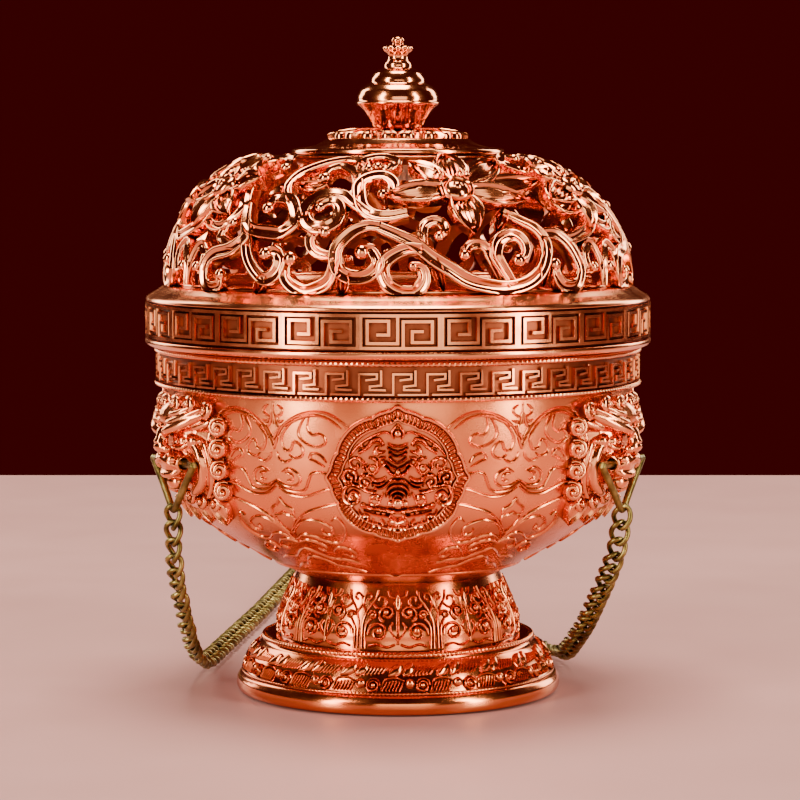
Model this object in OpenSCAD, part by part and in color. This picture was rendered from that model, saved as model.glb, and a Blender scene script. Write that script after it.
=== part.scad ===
// Hanging incense burner: a footed bowl with a pierced lid, three lion-mask lugs with wire
// bails, and three chains gathered on a hanging ring.
// Millimetres, +Z up. The origin is the centre of the face that the foot stands on, and the
// front medallion faces -Y.

/* [Foot and pedestal] */
// Radius of the foot ring
foot_r = 31.6; // [31:0.1:33]
// Height of the foot up to the face that carries the pedestal
foot_h = 11.2; // [10.8:0.1:11.6]
// Radius of the pedestal where it stands on the foot
pedestal_base_r = 23.7; // [23:0.1:24.5]
// Radius of the pedestal under the bowl
pedestal_top_r = 19.7; // [19:0.1:21]
// Height of the pedestal
pedestal_h = 12.2; // [11:0.1:13]

/* [Bowl] */
// Outer radius of the bowl's upper wall
bowl_r = 45.3; // [45:0.1:45.6]
// Wall thickness of the castings
wall = 1.8; // [1.6:0.1:2]
// Height of the bowl from the pedestal to its edge
bowl_h = 44.1; // [44:0.1:44.6]
// Outer radius of the key band
band_r = 47.1; // [46.8:0.1:47.6]
// Height of the key band
band_h = 7.6; // [7:0.1:7.8]

/* [Lid] */
// Outer radius of the lid's rim
rim_r = 49; // [48.6:0.1:50]
// Height of the lid's rim and shoulder
rim_h = 11.2; // [11:0.1:12]
// Radius of the dome at its foot
dome_r = 44.5; // [44.3:0.1:44.8]
// Full height of the dome's curve above the shoulder
dome_h = 28.5; // [28:0.1:29.5]
// Radius of the crown disc
crown_r = 20.5; // [19:0.1:22]
// Number of vents in each row of the dome
vents = 12; // [9:1:14]

/* [Masks and bails] */
// Radius from the axis to the bails' pins
pin_r = 48.4; // [48.2:0.1:48.6]
// Height of the bails' pins
pin_z = 47; // [46.8:0.1:47.2]
// Diameter of the bail wire
bail_d = 1.4; // [1.2:0.1:1.5]
// Half the width of a bail at its pins
bail_half_w = 8; // [7.8:0.1:8.4]
// Drop of a bail from its pins to its apex
bail_drop = 9; // [8.8:0.1:9.4]
// Radial running clearance of a pin in its bore
pin_fit = 0.08; // [0.04:0.01:0.1]

/* [Medallions] */
// Radius of a medallion from its centre to the tip of a lobe
medallion_r = 13; // [12:0.1:13.5]
// Height of a medallion's centre
medallion_z = 46.4; // [46:0.1:47]
// Thickness of a medallion
medallion_t = 1.3; // [1.1:0.1:1.6]

/* [Ember pan] */
// Radius of the pan's rim
pan_r = 34.5; // [33:0.1:35]
// Height of the pan above its foot ring
pan_h = 23.7; // [22:0.1:25]

/* [Chains] */
// Width of a chain over its links
chain_d = 4.2; // [3.6:0.1:4.2]
// Radius of the hanging ring at the middle of its wire
hanging_ring_r = 10; // [9.5:0.1:11]

/* [Hidden] */
$fn = 64;

copper = [0.93, 0.58, 0.47];
brass = [0.47, 0.38, 0.22];
steel = [0.62, 0.62, 0.64];

// Gap between pieces that lie against each other
gap = 0.05;
// Azimuths from +X about +Z
azimuth_left = 210;
azimuth_right = 330;
azimuth_back = 90;
azimuths = [azimuth_left, azimuth_right, azimuth_back];
azimuth_front = 270;
medallion_azimuths = [azimuth_front, 30, 150];

pedestal_z = foot_h;
bowl_z = pedestal_z + pedestal_h;
bowl_top = bowl_z + bowl_h;
floor_t = 2;
bowl_floor = bowl_z + floor_t;
band_z = bowl_top - band_h;

// Tie screw through bowl, pedestal and foot
tie_r = 2.5;
tie_hole_r = 2.7;
tie_head_r = 4.5;
tie_head_h = 2.6;
web_t = 2.5;
web_z = foot_h - web_t;
tie_washer_t = 0.8;
tie_nut_h = 2.6;
tie_nut_r = 4.6;

// Lid
rim_z = bowl_top + 0.5;
rim_top = rim_z + rim_h;
spigot_r = bowl_r - wall - 0.6;
spigot_t = 1.3;
spigot_h = 3;
dome_z = rim_top;
dome_power = 2.25;
dome_t = 1.8;
dome_flat_h = 24.8;
dome_flat_z = dome_z + dome_flat_h;
crown_z = dome_flat_z;
crown_h = 4.6;
finial_z = crown_z + crown_h;
screw_r = 1.45;
screw_hole_r = 1.5;
screw_depth = 8;

// Bowl's outside grown by g: straight flare, then a quadratic curve up to the vertical wall
flare = [37.2, bowl_z + 10.2];
turn = [bowl_r, bowl_z + 15.1];
upright = [bowl_r, bowl_z + 34.6];
curve_steps = 6;
function curve(a, b, c, s) = a * (1 - s) * (1 - s) + b * 2 * s * (1 - s) + c * s * s;
function bowl_side(g) = [
  for (i = [0:curve_steps])
    curve(flare + [0.52 * g, -0.86 * g], turn + [g, -0.4 * g], upright + [g, 0], i / curve_steps)
];
function bowl_outside(g) = concat(
  [[0, bowl_z - g], [pedestal_top_r, bowl_z - g], [28.3 + 0.5 * g, bowl_z + 4.6 - 0.87 * g]],
  bowl_side(g)
);
function bowl_inside() = concat(
  [[tie_hole_r, bowl_floor], [pedestal_top_r - 0.9, bowl_floor], [27.3, bowl_z + 6.4]],
  bowl_side(-wall)
);

// Dome curve: a superellipse of half-width a and height b, as far as the flat at height h
function dome_radius(a, b, h) = a * pow(1 - pow(h / b, dome_power), 1 / dome_power);
function dome_side(a, b, h) = [
  for (s = [0, 0.2, 0.4, 0.58, 0.74, 0.87, 1]) [dome_radius(a, b, s * h), dome_z + s * h]
];
dome_inside_h = dome_flat_h - dome_t;

module disc(r, t) { cylinder(r = r, h = t); }

module around(azimuth) { rotate([0, 0, azimuth]) children(); }

// Bore or shank along the radius, from r0 to r1 at height z and tangential place t
module radial_rod(r0, r1, rod_r, z, t = 0) {
  translate([r0, t, z]) rotate([0, 90, 0]) cylinder(r = rod_r, h = r1 - r0);
}

module foot() {
  color(copper)
  rotate_extrude()
  polygon([
    [foot_r - 1, 0], [foot_r, 1], [foot_r, 2.8], [foot_r - 0.8, 4], [foot_r - 1.6, 4.4],
    [28.2, 8.6], [26.4, foot_h - 1], [26.2, foot_h - 0.3], [25.6, foot_h],
    [tie_hole_r, foot_h], [tie_hole_r, web_z], [22, web_z], [27.2, 3.4], [28.4, 0]
  ]);
}

module pedestal() {
  top = pedestal_z + pedestal_h;
  waist = [21.7, pedestal_z + 0.6 * pedestal_h];
  lining = [wall, 0];
  color(copper)
  rotate_extrude()
  polygon([
    [pedestal_base_r, pedestal_z], [pedestal_base_r, pedestal_z + 1],
    [pedestal_base_r - 0.6, pedestal_z + 3.7], waist, [pedestal_top_r, top],
    [pedestal_top_r - wall, top], waist - lining, [pedestal_base_r - wall, pedestal_z]
  ]);
}

module bowl() {
  color(copper)
  difference() {
    rotate_extrude()
    polygon(concat(
      [[tie_hole_r, bowl_z]],
      [for (i = [1:len(bowl_outside(0)) - 1]) bowl_outside(0)[i]],
      [[bowl_r, bowl_top], [bowl_r - wall, bowl_top]],
      [for (i = [len(bowl_inside()) - 1:-1:0]) bowl_inside()[i]]
    ));
    for (a = azimuths) around(a)
      radial_rod(38, 50, mask_screw_r + 0.2, mask_screw_z);
    for (a = medallion_azimuths) around(a)
      for (dz = rivet_dz) radial_rod(36, 50, rivet_r + 0.1, medallion_z + dz);
  }
}

module key_band() {
  color(copper)
  translate([0, 0, band_z])
  difference() {
    disc(band_r, band_h);
    translate([0, 0, -1]) disc(bowl_r + gap, band_h + 2);
  }
}

module tie_screw() {
  shank_bottom = web_z - tie_washer_t - tie_nut_h - 0.1;
  color(steel) {
    translate([0, 0, shank_bottom]) disc(tie_r, bowl_floor - shank_bottom);
    translate([0, 0, bowl_floor]) disc(tie_head_r, tie_head_h);
  }
}

module tie_washer() {
  color(steel)
  translate([0, 0, web_z - tie_washer_t])
  difference() {
    disc(5.5, tie_washer_t);
    translate([0, 0, -1]) disc(tie_hole_r, tie_washer_t + 2);
  }
}

module tie_nut() {
  color(steel)
  translate([0, 0, web_z - tie_washer_t - tie_nut_h])
  difference() {
    cylinder(r = tie_nut_r, h = tie_nut_h, $fn = 6);
    translate([0, 0, -1]) disc(tie_r + gap, tie_nut_h + 2);
  }
}

// Medallion: an eight-lobed plaque bent to the bowl's wall
lobes = 8;
lobe_r = 5.4;
rivet_r = 0.9;
rivet_dz = [-5, 6];
module medallion() {
  color(copper)
  difference() {
    intersection() {
      translate([30, 0, medallion_z]) rotate([0, 90, 0]) linear_extrude(20)
        union() {
          circle(r = medallion_r - 2.6);
          for (i = [0:lobes - 1]) rotate(i * 360 / lobes)
            translate([medallion_r - lobe_r, 0]) circle(r = lobe_r);
        }
      difference() {
        rotate_extrude() polygon(concat(
          bowl_outside(medallion_t), [[bowl_r + medallion_t, band_z - 0.2], [0, band_z - 0.2]]));
        rotate_extrude() polygon(concat(
          bowl_outside(gap), [[bowl_r + gap, band_z], [0, band_z]]));
      }
    }
    for (dz = rivet_dz) radial_rod(36, rivet_tip(dz), rivet_r + gap, medallion_z + dz);
  }
}

// A rivet's tip stops inside the plaque; the wall leans in under the middle of the plaque
function wall_r(z) = curve_r(z, 0);
function curve_r(z, i) =
  let (p = bowl_side(0)[i], q = bowl_side(0)[min(i + 1, curve_steps)])
  i >= curve_steps ? bowl_r : z <= q[1] ? p[0] + (q[0] - p[0]) * (z - p[1]) / (q[1] - p[1])
  : curve_r(z, i + 1);
function rivet_tip(dz) = wall_r(medallion_z + dz) + 0.7;

module medallion_front() { around(azimuth_front) medallion(); }
module medallion_right() { around(medallion_azimuths[1]) medallion(); }
module medallion_left() { around(medallion_azimuths[2]) medallion(); }

module medallion_rivets() {
  color(steel)
  for (a = medallion_azimuths) around(a)
    for (dz = rivet_dz) {
      seat = wall_r(medallion_z + dz - 2) - wall - 0.4;
      radial_rod(seat - 0.8, seat, 1.8, medallion_z + dz);
      radial_rod(seat, rivet_tip(dz) - 0.1, rivet_r, medallion_z + dz);
    }
}

// Lion mask: shield and curls of the mane on the wall, head, brow, nose, and a muzzle whose
// cheeks taper so that the bail clears them as it swings
mane_r = 45.6;
mask_z = 47.6;
muzzle_r = 3.8;
muzzle_half_w = 2.8;
cheek_end = 5.4;
cheek_end_r = 1.5;
curls = 12;
curl_r = 2.7;
mask_screw_r = 1.2;
mask_screw_z = 52;
module cheek() {
  rotate([-90, 0, 0]) cylinder(r = muzzle_r, h = muzzle_half_w);
  translate([0, muzzle_half_w, 0]) rotate([-90, 0, 0])
    cylinder(r1 = muzzle_r, r2 = cheek_end_r, h = cheek_end - muzzle_half_w);
}
module mask() {
  color(copper)
  difference() {
    union() {
      radial_rod(36, mane_r, 10.6, mask_z);
      for (i = [0:curls - 1])
        translate([mane_r - 2, 10.4 * sin(i * 360 / curls), mask_z + 8.9 * cos(i * 360 / curls)])
          sphere(r = curl_r);
      translate([41.5, 0, pin_z + 5.2]) sphere(r = 8.6);
      translate([46.2, 0, pin_z + 8]) sphere(r = 4.5);
      translate([50, 0, pin_z + 2.6]) sphere(r = 2.2);
      translate([pin_r, 0, pin_z]) {
        cheek();
        mirror([0, 1, 0]) cheek();
      }
    }
    rotate_extrude() polygon(concat(bowl_outside(gap), [[bowl_r + gap, 70], [0, 70]]));
    translate([0, 0, band_z - 0.2]) disc(60, 10);
    translate([pin_r, -10, pin_z]) rotate([-90, 0, 0]) cylinder(d = bail_d + 2 * pin_fit, h = 20);
    radial_rod(36, 48.4, mask_screw_r + gap, mask_screw_z);
  }
}

module mask_left() { around(azimuth_left) mask(); }
module mask_right() { around(azimuth_right) mask(); }
module mask_back() { around(azimuth_back) mask(); }

module mask_screws() {
  head_seat = bowl_r - wall - 0.6;
  color(steel)
  for (a = azimuths) around(a) {
    radial_rod(head_seat - 1.4, head_seat, 2.2, mask_screw_z);
    radial_rod(head_seat, 48.2, mask_screw_r, mask_screw_z);
  }
}

// Bail: a wire V whose two ends turn in to the mouth's bore
bail_end = 3;
module wire(a, b) {
  d = b - a;
  len = norm(d);
  translate(a)
  rotate([0, acos(d[2] / len), atan2(d[1], d[0])])
  cylinder(d = bail_d, h = len);
}
module bail() {
  color(brass)
  translate([pin_r, 0, pin_z]) {
    for (s = [-1, 1]) {
      wire([0, s * bail_end, 0], [0, s * bail_half_w, 0]);
      wire([0, s * bail_half_w, 0], [0, 0, -bail_drop]);
      translate([0, s * bail_half_w, 0]) sphere(d = bail_d);
    }
    translate([0, 0, -bail_drop]) sphere(d = bail_d);
  }
}

module bail_left() { around(azimuth_left) bail(); }
module bail_right() { around(azimuth_right) bail(); }
module bail_back() { around(azimuth_back) bail(); }

module ember_pan() {
  pan_z = bowl_floor + gap + 4;
  pan_top = pan_z + pan_h;
  pan_t = 1.2;
  color(copper)
  rotate_extrude()
  polygon([
    [0, pan_z], [12, pan_z], [12, bowl_floor + gap], [13.5, bowl_floor + gap], [13.5, pan_z],
    [18, pan_z], [27.5, pan_z + 4.5], [pan_r - 2, pan_top - pan_t], [pan_r, pan_top - pan_t],
    [pan_r, pan_top], [pan_r - 3, pan_top], [26.4, pan_z + 5.3], [17.6, pan_z + pan_t],
    [0, pan_z + pan_t]
  ]);
}

module lid_rim() {
  seat = bowl_top + gap;
  inner = spigot_r - spigot_t;
  color(copper)
  rotate_extrude()
  polygon([
    [rim_r - 0.6, rim_z], [rim_r, rim_z + 0.6], [rim_r, rim_z + 8.2], [rim_r - 0.7, rim_z + 8.9],
    [dome_r + 0.4, rim_top], [dome_r - 1.6, rim_top], [dome_r - 1.6, rim_top - 1.6],
    [rim_r - 2.2, rim_z + 7.2], [rim_r - 2.2, rim_z + 2.4], [inner, rim_z + 1],
    [inner, bowl_top - spigot_h], [spigot_r, bowl_top - spigot_h], [spigot_r, seat],
    [bowl_r, seat], [bowl_r + 0.4, rim_z]
  ]);
}

// Rows of vents in the dome: elevation from the centre of its foot, hole radius, turn of the row
vent_rows = [[10, 3.6, 0], [26, 3.6, 15], [41, 2.6, 0]];
vent_from = 25;
vent_length = 30;
module lid_dome() {
  color(copper)
  difference() {
    rotate_extrude()
    polygon(concat(
      dome_side(dome_r, dome_h, dome_flat_h),
      [[screw_hole_r + 0.2, dome_flat_z], [screw_hole_r + 0.2, dome_flat_z - dome_t]],
      [for (i = [6:-1:0]) dome_side(dome_r - dome_t, dome_h - dome_t, dome_inside_h)[i]]
    ));
    for (row = vent_rows) for (i = [0:vents - 1])
      translate([0, 0, dome_z])
      rotate([0, 90 - row[0], i * 360 / vents + row[2]])
      translate([0, 0, vent_from]) disc(row[1], vent_length);
  }
}

module lid_crown() {
  color(copper)
  rotate_extrude()
  polygon([
    [screw_hole_r + 0.2, crown_z], [crown_r, crown_z], [crown_r, crown_z + 1],
    [crown_r - 0.7, crown_z + 1.3], [13.8, crown_z + 3.3], [5.5, finial_z],
    [screw_hole_r + 0.2, finial_z]
  ]);
}

module finial() {
  color(copper)
  translate([0, 0, finial_z])
  difference() {
    rotate_extrude()
    polygon([
      [0, 0], [4.5, 0], [6, 2.3], [8.1, 5.2], [8.1, 6], [7.8, 7.2], [6.3, 8.7], [5, 10.1],
      [3, 12], [2.5, 13], [1.7, 14.3], [2.5, 15.6], [2.7, 16.3], [2, 16.9], [1.1, 17.7],
      [0.3, 18.3], [0, 18.3]
    ]);
    translate([0, 0, -1]) disc(screw_hole_r, screw_depth + 1);
  }
}

finial_washer_t = 0.8;
finial_screw_head_h = 2.2;
finial_screw_seat = dome_flat_z - dome_t - finial_washer_t;
module finial_screw() {
  color(steel) {
    translate([0, 0, finial_screw_seat]) disc(screw_r, finial_z + 7 - finial_screw_seat);
    translate([0, 0, finial_screw_seat - finial_screw_head_h]) disc(2.8, finial_screw_head_h);
  }
}

module finial_washer() {
  color(steel)
  translate([0, 0, finial_screw_seat])
  difference() {
    disc(4, finial_washer_t);
    translate([0, 0, -1]) disc(screw_hole_r + 0.1, finial_washer_t + 2);
  }
}

// Chains: a tube of eight sides swept along each route, from under its bail to its jump ring
route_left = [
  [-42, -24, 36.6], [-42, -23, 30], [-41.8, -19.5, 24], [-41.2, -14, 18], [-40.6, -7, 12],
  [-40, 1, 7], [-39.2, 10, 3.6], [-38.2, 20, 2.3], [-37, 30, 2.2], [-35.8, 40, 2.2],
  [-34.6, 50, 2.2], [-33.4, 60, 2.2], [-32.2, 70, 2.2], [-31, 80, 2.2], [-30, 90, 2.2],
  [-29, 100, 2.2], [-28, 110, 2.2], [-27, 120, 2.2], [-26, 130, 2.2], [-25, 140, 2.2],
  [-24, 150, 2.2], [-22.5, 160, 2.2], [-20, 169.5, 2.2], [-16.5, 178.5, 2.2],
  [-13.5, 186.5, 2.2], [-12, 192.9, 2.2]
];
route_right = [
  [41.9, -24.2, 36.6], [41, -22.5, 30], [39.5, -17.5, 24], [38, -11, 18.6], [36.6, -2.5, 13],
  [35.2, 6.5, 8.4], [34, 15.5, 4.6], [33, 25, 2.6], [30, 34.5, 2.2], [26, 43.5, 2.2],
  [23, 53, 2.2], [21, 63, 2.2], [20, 73, 2.2], [19.5, 83, 2.2], [19.5, 93, 2.2],
  [19.5, 103, 2.2], [19.5, 113, 2.2], [19.5, 123, 2.2], [19.5, 133, 2.2], [19, 143, 2.2],
  [18.5, 153, 2.2], [17.5, 163, 2.2], [15.5, 173, 2.2], [12, 183, 2.2], [8, 192.9, 2.2]
];
route_back = [
  [0, 48.4, 36.6], [0, 49.6, 28], [0, 52, 20], [-0.4, 56, 12], [-1.4, 61.5, 6],
  [-5, 68.5, 2.8], [-11.5, 73.5, 2.2], [-17.5, 79, 2.2], [-19.3, 87, 2.2], [-14.5, 94, 2.2],
  [-6.5, 97, 2.2], [2, 98.5, 2.2], [9.5, 102.5, 2.2], [13.3, 110, 2.2], [11, 118, 2.2],
  [4, 122.5, 2.2], [-4.5, 124, 2.2], [-12.5, 126.5, 2.2], [-18, 132.5, 2.2],
  [-18.5, 141, 2.2], [-12.5, 147, 2.2], [-4, 149, 2.2], [4, 151, 2.2], [9.5, 156.5, 2.2],
  [10, 164.5, 2.2], [4.5, 170, 2.2], [-2, 174.5, 2.2], [-4, 181.5, 2.2],
  [-2, 188.9, 2.2]
];
tube_sides = 8;
function unit(v) = v / norm(v);
function tangent(path, i) = unit(path[min(i + 1, len(path) - 1)] - path[max(i - 1, 0)]);
function across(n, t) = unit(n - (n * t) * t);
function normals(path, i, n) =
  i >= len(path) ? [] : let (m = across(n, tangent(path, i))) concat([m], normals(path, i + 1, m));
module tube(path, d) {
  n = normals(path, 0, [0, 1, 0.1]);
  points = [
    for (i = [0:len(path) - 1], k = [0:tube_sides - 1])
      let (b = cross(tangent(path, i), n[i]), a = (k + 0.5) * 360 / tube_sides)
      path[i] + d / 2 * (cos(a) * n[i] + sin(a) * b)
  ];
  last = (len(path) - 1) * tube_sides;
  sides = [
    for (i = [0:len(path) - 2], k = [0:tube_sides - 1])
      let (j = (k + 1) % tube_sides, p = i * tube_sides)
      [p + k, p + tube_sides + k, p + tube_sides + j, p + j]
  ];
  near_end = [[for (k = [0:tube_sides - 1]) k]];
  far_end = [[for (k = [tube_sides - 1:-1:0]) last + k]];
  polyhedron(points, concat(sides, near_end, far_end));
}

module chain_left() { color(brass) tube(route_left, chain_d); }
module chain_right() { color(brass) tube(route_right, chain_d); }
module chain_back() { color(brass) tube(route_back, chain_d); }

// Jump rings stand aslant round the wire of the hanging ring, which lies on them
hanging_ring_d = 2;
hanging_ring_at = [-2, 203, 0];
hanging_ring_tilt = 4.5;
jump_d = 1.2;
jump_r = 2.7;
jump_tilt = 52;
jump_z = 2.75;
jump_azimuths = [-135, -90, -45];
module ring(r, d) {
  rotate_extrude() translate([r, 0]) circle(d = d);
}
module jump_rings() {
  color(brass)
  for (a = jump_azimuths)
    translate(hanging_ring_at) rotate([0, 0, a])
    translate([hanging_ring_r + 0.2, 0, jump_z])
    rotate([jump_tilt, 0, 0])
    ring(jump_r, jump_d);
}

module hanging_ring() {
  color(brass)
  translate([hanging_ring_at[0], hanging_ring_at[1], 1.85])
  rotate([-hanging_ring_tilt, 0, 0])
  ring(hanging_ring_r, hanging_ring_d);
}

foot();
pedestal();
bowl();
key_band();
tie_screw();
tie_washer();
tie_nut();
medallion_front();
medallion_right();
medallion_left();
medallion_rivets();
mask_left();
mask_right();
mask_back();
mask_screws();
bail_left();
bail_right();
bail_back();
ember_pan();
lid_rim();
lid_dome();
lid_crown();
finial();
finial_screw();
finial_washer();
chain_left();
chain_right();
chain_back();
jump_rings();
hanging_ring();
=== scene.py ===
import math

import bmesh
import bpy
import numpy as np
from mathutils import Matrix, Vector


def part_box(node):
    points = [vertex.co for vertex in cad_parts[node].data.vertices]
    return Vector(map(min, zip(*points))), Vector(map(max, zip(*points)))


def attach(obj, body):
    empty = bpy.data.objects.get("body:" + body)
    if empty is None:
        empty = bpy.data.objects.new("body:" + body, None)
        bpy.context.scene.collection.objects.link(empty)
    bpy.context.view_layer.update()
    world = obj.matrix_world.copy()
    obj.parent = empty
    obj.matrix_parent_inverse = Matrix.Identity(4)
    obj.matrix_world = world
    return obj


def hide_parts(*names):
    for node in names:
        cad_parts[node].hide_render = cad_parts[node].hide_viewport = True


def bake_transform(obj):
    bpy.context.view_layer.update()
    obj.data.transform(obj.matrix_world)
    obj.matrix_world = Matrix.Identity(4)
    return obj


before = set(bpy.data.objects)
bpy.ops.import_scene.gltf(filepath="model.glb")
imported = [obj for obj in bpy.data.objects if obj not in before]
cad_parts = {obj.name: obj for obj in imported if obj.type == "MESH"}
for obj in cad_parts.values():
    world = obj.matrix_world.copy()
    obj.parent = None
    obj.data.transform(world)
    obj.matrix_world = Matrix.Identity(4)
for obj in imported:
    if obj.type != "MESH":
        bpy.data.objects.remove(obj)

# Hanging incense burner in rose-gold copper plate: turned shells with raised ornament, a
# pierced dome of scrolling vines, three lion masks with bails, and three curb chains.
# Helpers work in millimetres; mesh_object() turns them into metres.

MM = 0.001
RAD = math.pi / 180
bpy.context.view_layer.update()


def reach(node):
    """Largest radius and top height of a CAD node, in millimetres."""
    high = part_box(node)[1]
    return high[0] / MM, high[2] / MM


# ---------------------------------------------------------------- heights and radii

foot_top = reach("foot")[1]
pedestal_top = reach("pedestal")[1]
bowl_r, bowl_top = reach("bowl")
rim_top = reach("lid_rim")[1]
dome_r, dome_top = reach("lid_dome")
crown_top = reach("lid_crown")[1]
shell = 1.8
# the hinge of each bail, in its mask's mouth
pin_r, pin_z = 48.4, 47.0
mask_azimuths = {"left": -60, "right": 60, "back": 180}
medallion_azimuths = {"front": 0, "right": 120, "left": -120}

# ---------------------------------------------------------------- camera

camera_data = bpy.data.cameras.new("camera")
camera_data.lens = 131.5
camera_data.sensor_width = 36
camera_data.clip_start = 0.01
camera = bpy.data.objects.new("camera", camera_data)
camera.location = (0.0004, -0.5668, 0.1044)
looks_down = 4.83
camera.rotation_euler = ((90 - looks_down) * RAD, 0, 0)
bpy.context.scene.collection.objects.link(camera)
bpy.context.scene.camera = camera

# ---------------------------------------------------------------- mesh helpers


class Shape:
    """Vertices and faces gathered part by part, in millimetres."""

    def __init__(self):
        self.verts, self.faces, self.count = [], [], 0

    def add(self, verts, faces):
        verts = np.asarray(verts, float).reshape(-1, 3)
        self.faces.extend(tuple(i + self.count for i in face) for face in faces)
        self.verts.append(verts)
        self.count += len(verts)

    def turned(self, *azimuths):
        """A copy of the shape at each azimuth round the Z axis, all in one shape."""
        out = Shape()
        for azimuth in azimuths:
            m = np.array(around(azimuth))
            out.add(np.concatenate(self.verts) @ m[:3, :3].T + m[:3, 3], self.faces)
        return out


def around(azimuth):
    return Matrix.Rotation(azimuth * RAD, 4, "Z")


def circle(steps):
    """Even angles round a full turn, in radians."""
    return np.arange(steps) * 2 * math.pi / steps


def grid(n, m, close_n, close_m=False):
    """Quads between n rows of m vertices."""
    rows = np.arange(n if close_n else n - 1)
    columns = np.arange(m if close_m else m - 1)
    i, j = np.meshgrid(rows, columns, indexing="ij")
    i2, j2 = (i + 1) % n, (j + 1) % m
    return np.stack([i * m + j, i2 * m + j, i2 * m + j2, i * m + j2], -1).reshape(-1, 4).tolist()


def swept_faces(n, m, closed=False):
    faces = grid(n, m, closed, True)
    if not closed:
        faces += [list(range(m)), list(range((n - 1) * m, n * m))]
    return faces


def unit(v):
    return v / np.maximum(np.linalg.norm(v, axis=-1, keepdims=True), 1e-9)


def spline(points, per):
    """Smooth curve through the points: Catmull-Rom with per samples to a span."""
    p = np.asarray(points, float)
    p = np.concatenate([2 * p[:1] - p[1:2], p, 2 * p[-1:] - p[-2:-1]])
    out = []
    for a, b, c, d in zip(p, p[1:], p[2:], p[3:]):
        t = np.arange(per)[:, None] / per
        out.append(0.5 * (2 * b + (c - a) * t + (2 * a - 5 * b + 4 * c - d) * t ** 2
                          + (3 * b - a - 3 * c + d) * t ** 3))
    return np.concatenate(out + [p[-2:-1]])


def fillet(points, radius, steps=4):
    """Closed outline with each corner rounded by a quadratic curve."""
    p = np.asarray(points, float)
    out = []
    for before, here, after in zip(np.roll(p, 1, 0), p, np.roll(p, -1, 0)):
        a, b = before - here, after - here
        la, lb = np.linalg.norm(a), np.linalg.norm(b)
        start = here + a / la * min(radius, 0.45 * la)
        end = here + b / lb * min(radius, 0.45 * lb)
        for t in np.linspace(0, 1, steps):
            out.append(start * (1 - t) ** 2 + here * 2 * t * (1 - t) + end * t ** 2)
    return np.array(out)


def revolve(shape, outline, steps):
    """Turned solid from a closed (r, z) outline."""
    r, z = np.asarray(outline, float).T
    a = circle(steps)[:, None]
    verts = np.stack([r * np.sin(a), -r * np.cos(a), z + 0 * a], -1)
    shape.add(verts, grid(steps, len(r), True, True))


class Wall:
    """The outside of a turned shell, measured by azimuth in degrees and by arc length v."""

    def __init__(self, outline):
        p = np.asarray(outline, float)
        self.v = np.concatenate([[0], np.cumsum(np.linalg.norm(np.diff(p, axis=0), axis=1))])
        self.p = p
        along = unit(np.gradient(p, axis=0))
        self.normal = np.stack([along[:, 1], -along[:, 0]], -1)

    def radius(self, v):
        return np.interp(v, self.v, self.p[:, 0])

    def up(self, z):
        """Arc length at height z."""
        return float(np.interp(z, self.p[:, 1], self.v))

    def place(self, azimuth, v, lift):
        r = np.interp(v, self.v, self.p[:, 0]) + lift * np.interp(v, self.v, self.normal[:, 0])
        z = np.interp(v, self.v, self.p[:, 1]) + lift * np.interp(v, self.v, self.normal[:, 1])
        a = np.asarray(azimuth) * RAD
        return np.stack([r * np.sin(a), -r * np.cos(a), z + 0 * a], -1)


# Sections of raised work: (across, up), across in half-widths
VINE = [(-1, -1.7), (-1, 0.25), (-0.93, 0.5), (-0.76, 0.6), (-0.58, 0.5), (-0.34, 0.12), (0, 0),
        (0.34, 0.12), (0.58, 0.5), (0.76, 0.6), (0.93, 0.5), (1, 0.25), (1, -1.7)]
PETAL = [(-1, -1.4), (-1, 0.45), (-0.95, 0.85), (-0.86, 0.95), (-0.77, 0.8), (-0.7, 0.2),
         (-0.6, -0.1), (-0.42, -0.15), (-0.34, 0.15), (-0.28, 0.3), (-0.22, 0.15), (-0.12, -0.1),
         (0, 0.2), (0.12, -0.1), (0.22, 0.15), (0.28, 0.3), (0.34, 0.15), (0.42, -0.15),
         (0.6, -0.1), (0.7, 0.2), (0.77, 0.8), (0.86, 0.95), (0.95, 0.85), (1, 0.45), (1, -1.4)]
LINE = [(-1, -0.3), (-0.75, 0.35), (-0.4, 0.8), (0, 1), (0.4, 0.8), (0.75, 0.35), (1, -0.3)]
KEY = [(-1, -0.3), (-1, 0.55), (-0.66, 1), (0.66, 1), (1, 0.55), (1, -0.3)]


def ribbon(shape, wall, path, section, half, height, lift=0.0, closed=False):
    """Sweep a section along a path of (azimuth, v) on a wall, with mitred corners."""
    path = np.asarray(path, float)
    n, m = len(path), len(section)
    scale = RAD * wall.radius(path[:, 1])
    step = np.roll(path, -1, 0) - path
    step[:, 0] *= scale
    if not closed:
        step[-1] = step[-2]
    after = unit(step)
    before = np.roll(after, 1, 0)
    if not closed:
        before[0] = after[0]
    bend = unit(before + after)
    mitre = 1 / np.maximum((bend * after).sum(1), 0.6)
    side = np.stack([-bend[:, 1], bend[:, 0]], -1) * mitre[:, None]
    across, up = np.array(section, float).T
    half = np.broadcast_to(np.asarray(half, float), (n,))[:, None]
    height = np.broadcast_to(np.asarray(height, float), (n,))[:, None]
    lift = np.broadcast_to(np.asarray(lift, float), (n,))[:, None]
    azimuth = path[:, :1] + across[None, :] * half * side[:, :1] / scale[:, None]
    v = path[:, 1:] + across[None, :] * half * side[:, 1:]
    verts = wall.place(azimuth, v, up[None, :] * height + lift)
    shape.add(verts, swept_faces(n, m, closed))


def taper(n, ends, reach):
    """Width along a path that narrows to a share of itself at either end."""
    t = np.linspace(0, 1, n)
    return np.interp(t, [0, reach, 1 - reach, 1], [ends[0], 1, 1, ends[1]])


LEAF_T = [0, 0.15, 0.35, 0.55, 0.75, 0.9, 1]
LEAF_W = [0.58, 0.82, 1.0, 0.95, 0.68, 0.33, 0.03]


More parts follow.
